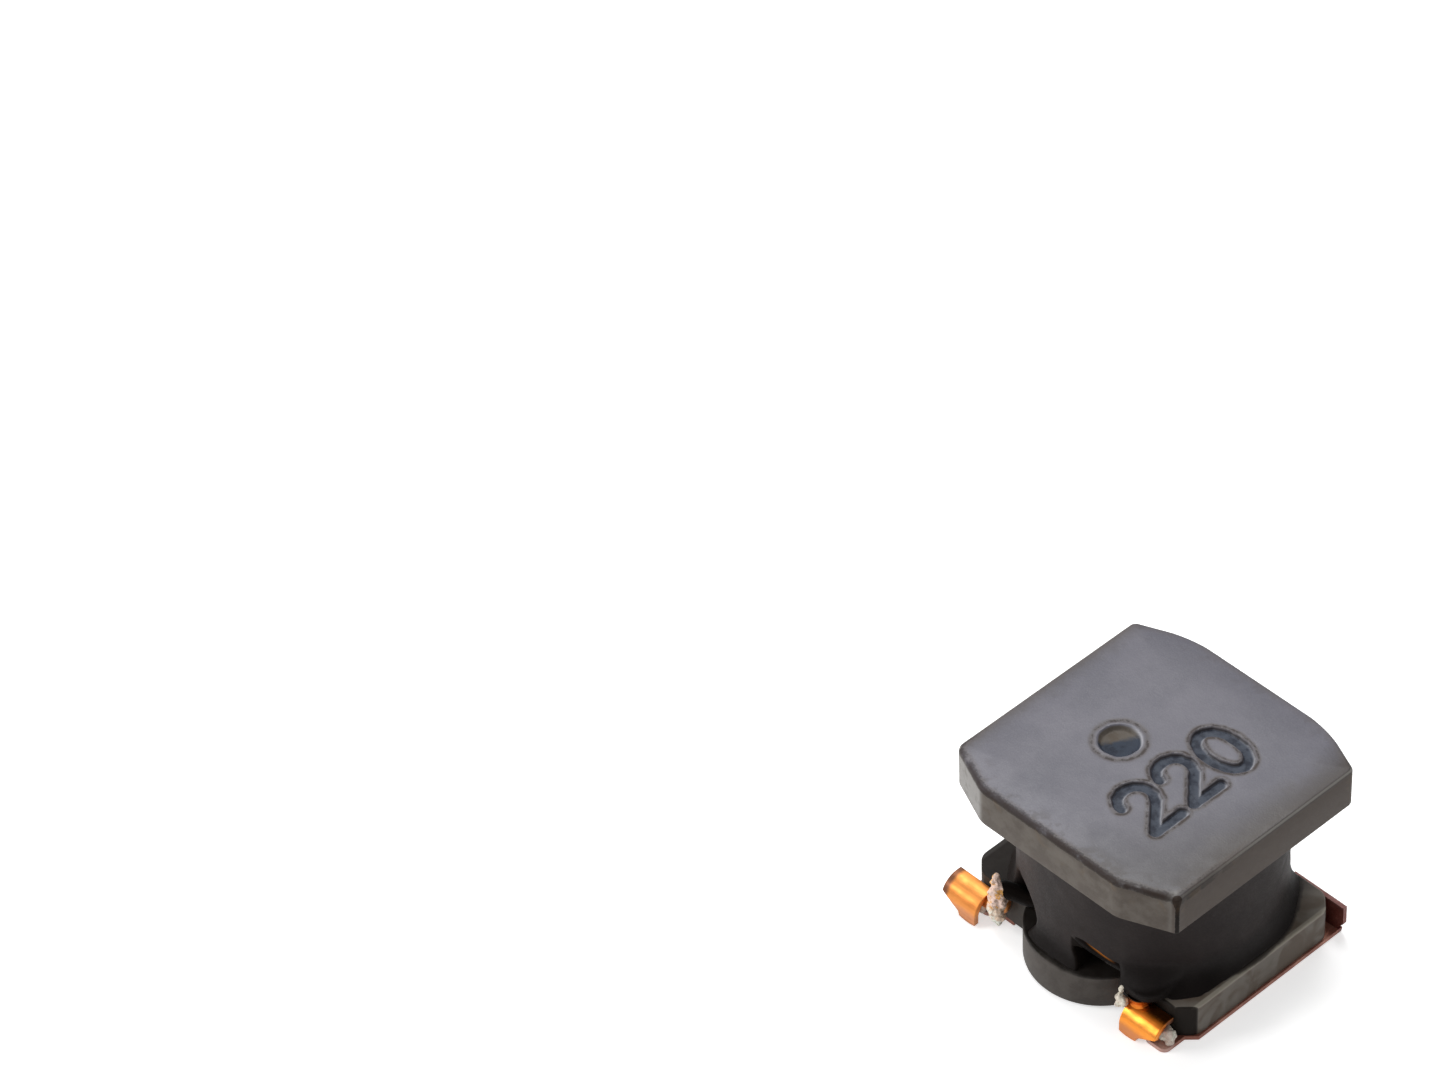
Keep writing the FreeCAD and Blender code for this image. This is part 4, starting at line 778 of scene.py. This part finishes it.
def makeResinFinish(ink):
    surface = Surface("magneticResin", Metallic=0.0, IOR=1.27)
    smooth, blend = surface.smooth, surface.blend
    place = surface.place()
    x, y, z = surface.axes(place)
    broad = surface.noise(place, 1.1, 3.0, 0.5)
    grain = surface.noise(place, 22.0, 3.0, 0.65)
    body = blend(smooth(broad, 0.35, 0.70), *ink["body"])
    body = blend(smooth(grain, 0.52, 0.80) * 0.4, body, ink["grain"])
    body = blend(smooth(x, -0.2, -1.6) * 0.5, body, ink["left"])
    # painted shade: the resin darkens towards its foot
    body = blend(smooth(z + (broad - 0.5) * 0.35, 1.55, 1.15) * 0.6, body, ink["foot"])
    surface.colour(body)

    # painted shade: on the front, the window, the hollow and the foot are darkened where shade falls
    wedge = smooth(z + x * 1.583, 1.80, 1.89) * smooth(z + x * 0.555, 1.86, 1.82)
    wedge = wedge * smooth(x, 1.52, 1.46) * smooth(x, 0.33, 0.40)
    deep = smooth(surface.root(x * x + y * y), 2.66, 2.56) * smooth(z, 1.75, 1.60)
    foot = smooth(z + (broad - 0.5) * 0.3, 1.22, 1.00)
    sunk = surface.most(surface.most(wedge * 0.95, deep), foot * 0.45)
    surface.stain(sunk * smooth(y, -0.6, -1.4), ink["deep"])
    surface.rough(smooth(grain, 0.2, 0.8) * 0.16 + 0.55)
    surface.relief(grain * 0.7 + broad, 0.012, 0.5)
    return surface


copperColours = {
    "body": ((0.78, 0.29, 0.060), (0.94, 0.42, 0.105)), "low": (0.50, 0.24, 0.140), "streak": (0.30, 0.10, 0.03),
    "foot": (0.13, 0.06, 0.045), "speck": (0.30, 0.10, 0.035), "right": (0.82, 0.26, 0.030),
    "left": (0.52, 0.185, 0.050), "leftRim": (0.110, 0.050, 0.036), "bend": (0.60, 0.16, 0.015),
    "underBoot": (0.060, 0.018, 0.007), "rightLow": (0.62, 0.20, 0.045), "smeared": (0.006, 0.0045, 0.004),
}


def makeCopper(ink):
    surface = Surface("copperWire")
    smooth, blend = surface.smooth, surface.blend
    place = surface.place()
    x, y, z = surface.axes(place)
    streaks = surface.noise(surface.place((0.22, 4.0, 4.0)), 2.0, 3.0, 0.55)
    patches = surface.noise(place, 2.2, 3.0, 0.6)
    fine = surface.noise(place, 18.0, 2.0, 0.6)
    low = smooth(z + (patches - 0.5) * 0.2, 0.40, 0.20)
    onRight, onLeft = smooth(x, 0.0, 1.0), smooth(x, 0.0, -1.0)
    body = blend(smooth(streaks, 0.34, 0.62), *ink["body"])
    body = blend(low * 0.85, body, ink["low"])
    body = blend(smooth(streaks, 0.38, 0.30) * 0.45, body, ink["streak"])
    body = blend(smooth(z, 0.12, 0.04) * 0.8, body, ink["foot"])
    body = blend(smooth(fine, 0.62, 0.76) * 0.25, body, ink["speck"])
    body = blend(onRight * 0.7, body, ink["right"])
    body = blend(onLeft * 0.7, body, ink["left"])
    body = blend(smooth(x + (patches - 0.5) * 0.12, -3.00, -3.12) * 0.9, body, ink["leftRim"])

    # painted shade: the right end's upper back part darkens where it passes under the boot, standing in for the boot's
    # shadow and dark reflection, partly also resin smear
    ribbon = onRight * smooth(z, 0.72, 0.66)
    body = blend(ribbon * smooth(y, -2.66, -2.54) * 0.85, body, ink["bend"])
    body = blend(ribbon * smooth(y + (fine - 0.5) * 0.10, -2.52, -2.42) * 0.85, body, ink["underBoot"])
    body = blend(onRight * smooth(z, 0.34, 0.22) * 0.6, body, ink["rightLow"])

    # the wire is darkened above the lower flange, partly resin smear and partly painted shade, where it lies in the
    # window and in the hollow; a thin bare line in the window stays lighter
    sleeve = smooth(z, 0.82, 0.88)
    bare = smooth(x, 0.62, 0.85) * smooth(x, 1.30, 1.05) * smooth(z + x * 0.62, 2.06, 2.12)
    surface.colour(blend(sleeve * (1 - bare * 0.45), body, ink["smeared"]))
    surface.feed(surface.shader.inputs["Metallic"], 1 - low * 0.5)
    surface.rough(smooth(patches, 0.35, 0.70) * 0.12 + smooth(x, -1.0, -2.0) * 0.10 + sleeve * 0.2 + 0.30)
    surface.relief(streaks + patches * 0.5, 0.010, 0.5)
    return surface


stripColours = {
    "body": ((0.30, 0.105, 0.070), (0.46, 0.21, 0.15)), "heel": (0.135, 0.024, 0.018), "tab": (0.58, 0.38, 0.33),
    "tabEdge": (0.26, 0.15, 0.14), "speck": (0.50, 0.30, 0.24),
}


def makeStripCopper(ink):
    surface = Surface("terminalCopper", Metallic=0.40)
    smooth, blend = surface.smooth, surface.blend
    place = surface.place()
    y, z = surface.axes(place)[1:]
    patches = surface.noise(place, 2.4, 3.0, 0.6)
    fine = surface.noise(place, 16.0, 3.0, 0.6)
    # painted shade: the back heel is darker and redder, as copper in shade
    heel = smooth(y, 2.18, 2.23)
    body = blend(smooth(patches, 0.38, 0.66), *ink["body"])
    body = blend(heel * 0.9, body, ink["heel"])
    body = blend(smooth(y, -2.30, -2.45) * 0.8, body, ink["tab"])
    body = blend(smooth(z, 0.68, 0.75) * 0.4, body, ink["tabEdge"])
    surface.colour(blend(smooth(fine, 0.55, 0.78) * (0.4 - heel * 0.25), body, ink["speck"]))
    surface.rough(smooth(fine, 0.3, 0.7) * 0.2 + 0.38)
    surface.relief(fine + patches, 0.02, 0.5)
    return surface


crustColours = {
    "solderCrust": {"pale": (0.92, 0.89, 0.76), "warm": (0.84, 0.70, 0.60), "high": (0.90, 0.84, 0.70)},
    "fluxCrust": {"pale": (0.90, 0.90, 0.80), "warm": (0.84, 0.64, 0.48), "high": (0.95, 0.70, 0.60)},
    "amber": (0.86, 0.44, 0.12), "speck": (0.14, 0.07, 0.04),
}


def makeCrust(name, ink):
    # pale crumbs near the board, warmer ones higher up
    surface = Surface(name, Metallic=0.0, IOR=1.5)
    smooth, blend = surface.smooth, surface.blend
    place = surface.place()
    x, z = surface.axes(place)[::2]
    lumps = surface.noise(place, 5.0, 4.0, 0.65)
    fine = surface.noise(place, 26.0, 3.0, 0.6)
    high = smooth(z + (lumps - 0.5) * 0.5, 0.62, 0.86)
    body = blend(smooth(lumps, 0.46, 0.60), ink[name]["warm"], ink[name]["pale"])
    body = blend(high * 0.8, body, ink[name]["high"])
    body = blend(high * smooth(lumps, 0.50, 0.58) * smooth(x, 0.0, -0.5), body, ink["amber"])
    surface.colour(blend(smooth(fine, 0.58, 0.70) * 0.6, body, ink["speck"]))
    surface.rough(smooth(lumps, 0.3, 0.7) * 0.3 + 0.28)
    surface.relief(lumps + fine * 0.4, 0.06, 0.8)
    return surface


ferrite = makeFerrite(ferriteColours)
resin = makeResinFinish(resinColours)
copper = makeCopper(copperColours)
stripCopper = makeStripCopper(stripColours)
solderCrust = makeCrust("solderCrust", crustColours)
fluxCrust = makeCrust("fluxCrust", crustColours)
print("finishes ready")

makeUpperFlange(flangeValues, ferrite)
makeLowerFlange(baseValues, ferrite)
makeResin(resinValues, resin)
makeTurns(turnsValues, copper)
for name, route in leadValues.items():
    makeLead(name, route, copper)
makeNeck(neckValues, copper)
makeRibbon("rightPressedEnd", ribbonValues, copper)
makeRibbon("leftPressedEnd", ribbonValues, copper)
for values in crumbValues:
    makeCrumb(values, fluxCrust if values["name"] == "leftFlux" else solderCrust)
for name in ("terminal_right", "terminal_left"):
    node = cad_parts[name]
    node.data.materials.clear()
    node.data.materials.append(stripCopper.material)
print("pieces ready")


# Floor, backdrop and light

stageValues = {
    "floorSize": 2.0, "floorColours": ((0.93, 0.93, 0.93), (0.95, 0.95, 0.95)), "floorGlow": 0.55,
    "worldStrength": 0.36, "lampAim": (0, 0, 2.2),
}
lampValues = {
    "overhead": {"place": (-50, 30, 125), "size": 90, "power": 0.14},
    "leftFill": {"place": (-100, -105, 75), "size": 70, "power": 0.115},
}


def makeFloor(values):
    floorMesh = bpy.data.meshes.new("floor")
    bm = bmesh.new()
    bmesh.ops.create_grid(bm, x_segments=1, y_segments=1, size=values["floorSize"])
    bm.to_mesh(floorMesh)
    bm.free()
    floor = bpy.data.objects.new("floor", floorMesh)
    bpy.context.collection.objects.link(floor)
    surface = Surface("floor", Roughness=0.9)
    ray = surface.most(surface.node("ShaderNodeLightPath", {}, "Is Camera Ray"),
                       surface.node("ShaderNodeLightPath", {}, "Is Glossy Ray"))
    surface.colour(surface.blend(surface.noise(surface.place(), 0.02, 2.0, 0.5), *values["floorColours"]))
    surface.feed(surface.shader.inputs["Emission Color"], surface.blend(ray, (0, 0, 0), (1, 1, 1)))
    surface.shader.inputs["Emission Strength"].default_value = values["floorGlow"]
    floorMesh.materials.append(surface.material)


def makeWorld(values):
    # white to the camera, softer as a light
    world = bpy.data.worlds.new("world")
    bpy.context.scene.world = world
    world.use_nodes = True
    nodes, links = world.node_tree.nodes, world.node_tree.links
    path = nodes.new("ShaderNodeLightPath")
    seen = nodes.new("ShaderNodeMath")
    seen.operation = "MAXIMUM"
    links.new(path.outputs["Is Camera Ray"], seen.inputs[0])
    links.new(path.outputs["Is Transmission Ray"], seen.inputs[1])
    strength = nodes.new("ShaderNodeMapRange")
    strength.inputs["To Min"].default_value = values["worldStrength"]
    strength.inputs["To Max"].default_value = 1.0
    links.new(seen.outputs[0], strength.inputs["Value"])
    background = nodes["Background"]
    background.inputs["Color"].default_value = (1, 1, 1, 1)
    links.new(strength.outputs[0], background.inputs["Strength"])


def addLamp(name, values, aim):
    lamp = bpy.data.lights.new(name, "AREA")
    lamp.shape = "DISK"
    lamp.size = values["size"] * mm
    lamp.energy = values["power"]
    holder = bpy.data.objects.new(name, lamp)
    place = Vector(values["place"])
    holder.location = place * mm
    holder.rotation_euler = (Vector(aim) - place).to_track_quat("-Z", "Y").to_euler()
    bpy.context.collection.objects.link(holder)


makeFloor(stageValues)
makeWorld(stageValues)
for name, values in lampValues.items():
    addLamp(name, values, stageValues["lampAim"])
print("floor and lamps ready")


# Camera at the photograph's angle

cameraValues = {
    "azimuth": 43.1, "elevation": 44.7, "roll": 0.99, "distance": 114.6, "aim": (0, 0, 4.4),
    "focal": 5858.4, "frame": (1440, 1080), "centre": (1155.2, 757.4),  # in pixels of the photograph
    "clip": (0.005, 10),
}


def makeCamera(values):
    azimuth, elevation, roll = (math.radians(values[name]) for name in ("azimuth", "elevation", "roll"))
    back = Vector((math.sin(azimuth) * math.cos(elevation), -math.cos(azimuth) * math.cos(elevation),
                   math.sin(elevation)))
    level = Vector((math.cos(azimuth), math.sin(azimuth), 0))
    above = back.cross(level)
    right = level * math.cos(roll) + above * math.sin(roll)
    up = above * math.cos(roll) - level * math.sin(roll)
    camera = bpy.data.cameras.new("camera")
    (width, height), (centreX, centreY) = values["frame"], values["centre"]
    camera.lens = values["focal"] / width * camera.sensor_width
    camera.shift_x = (width / 2 - centreX) / width
    camera.shift_y = (centreY - height / 2) / width
    camera.clip_start, camera.clip_end = values["clip"]
    holder = bpy.data.objects.new("camera", camera)
    holder.matrix_world = Matrix((right, up, back)).transposed().to_4x4()
    holder.location = (Vector(values["aim"]) + back * values["distance"]) * mm
    bpy.context.collection.objects.link(holder)
    bpy.context.scene.camera = holder


makeCamera(cameraValues)
bpy.context.scene.view_settings.view_transform = "Standard"
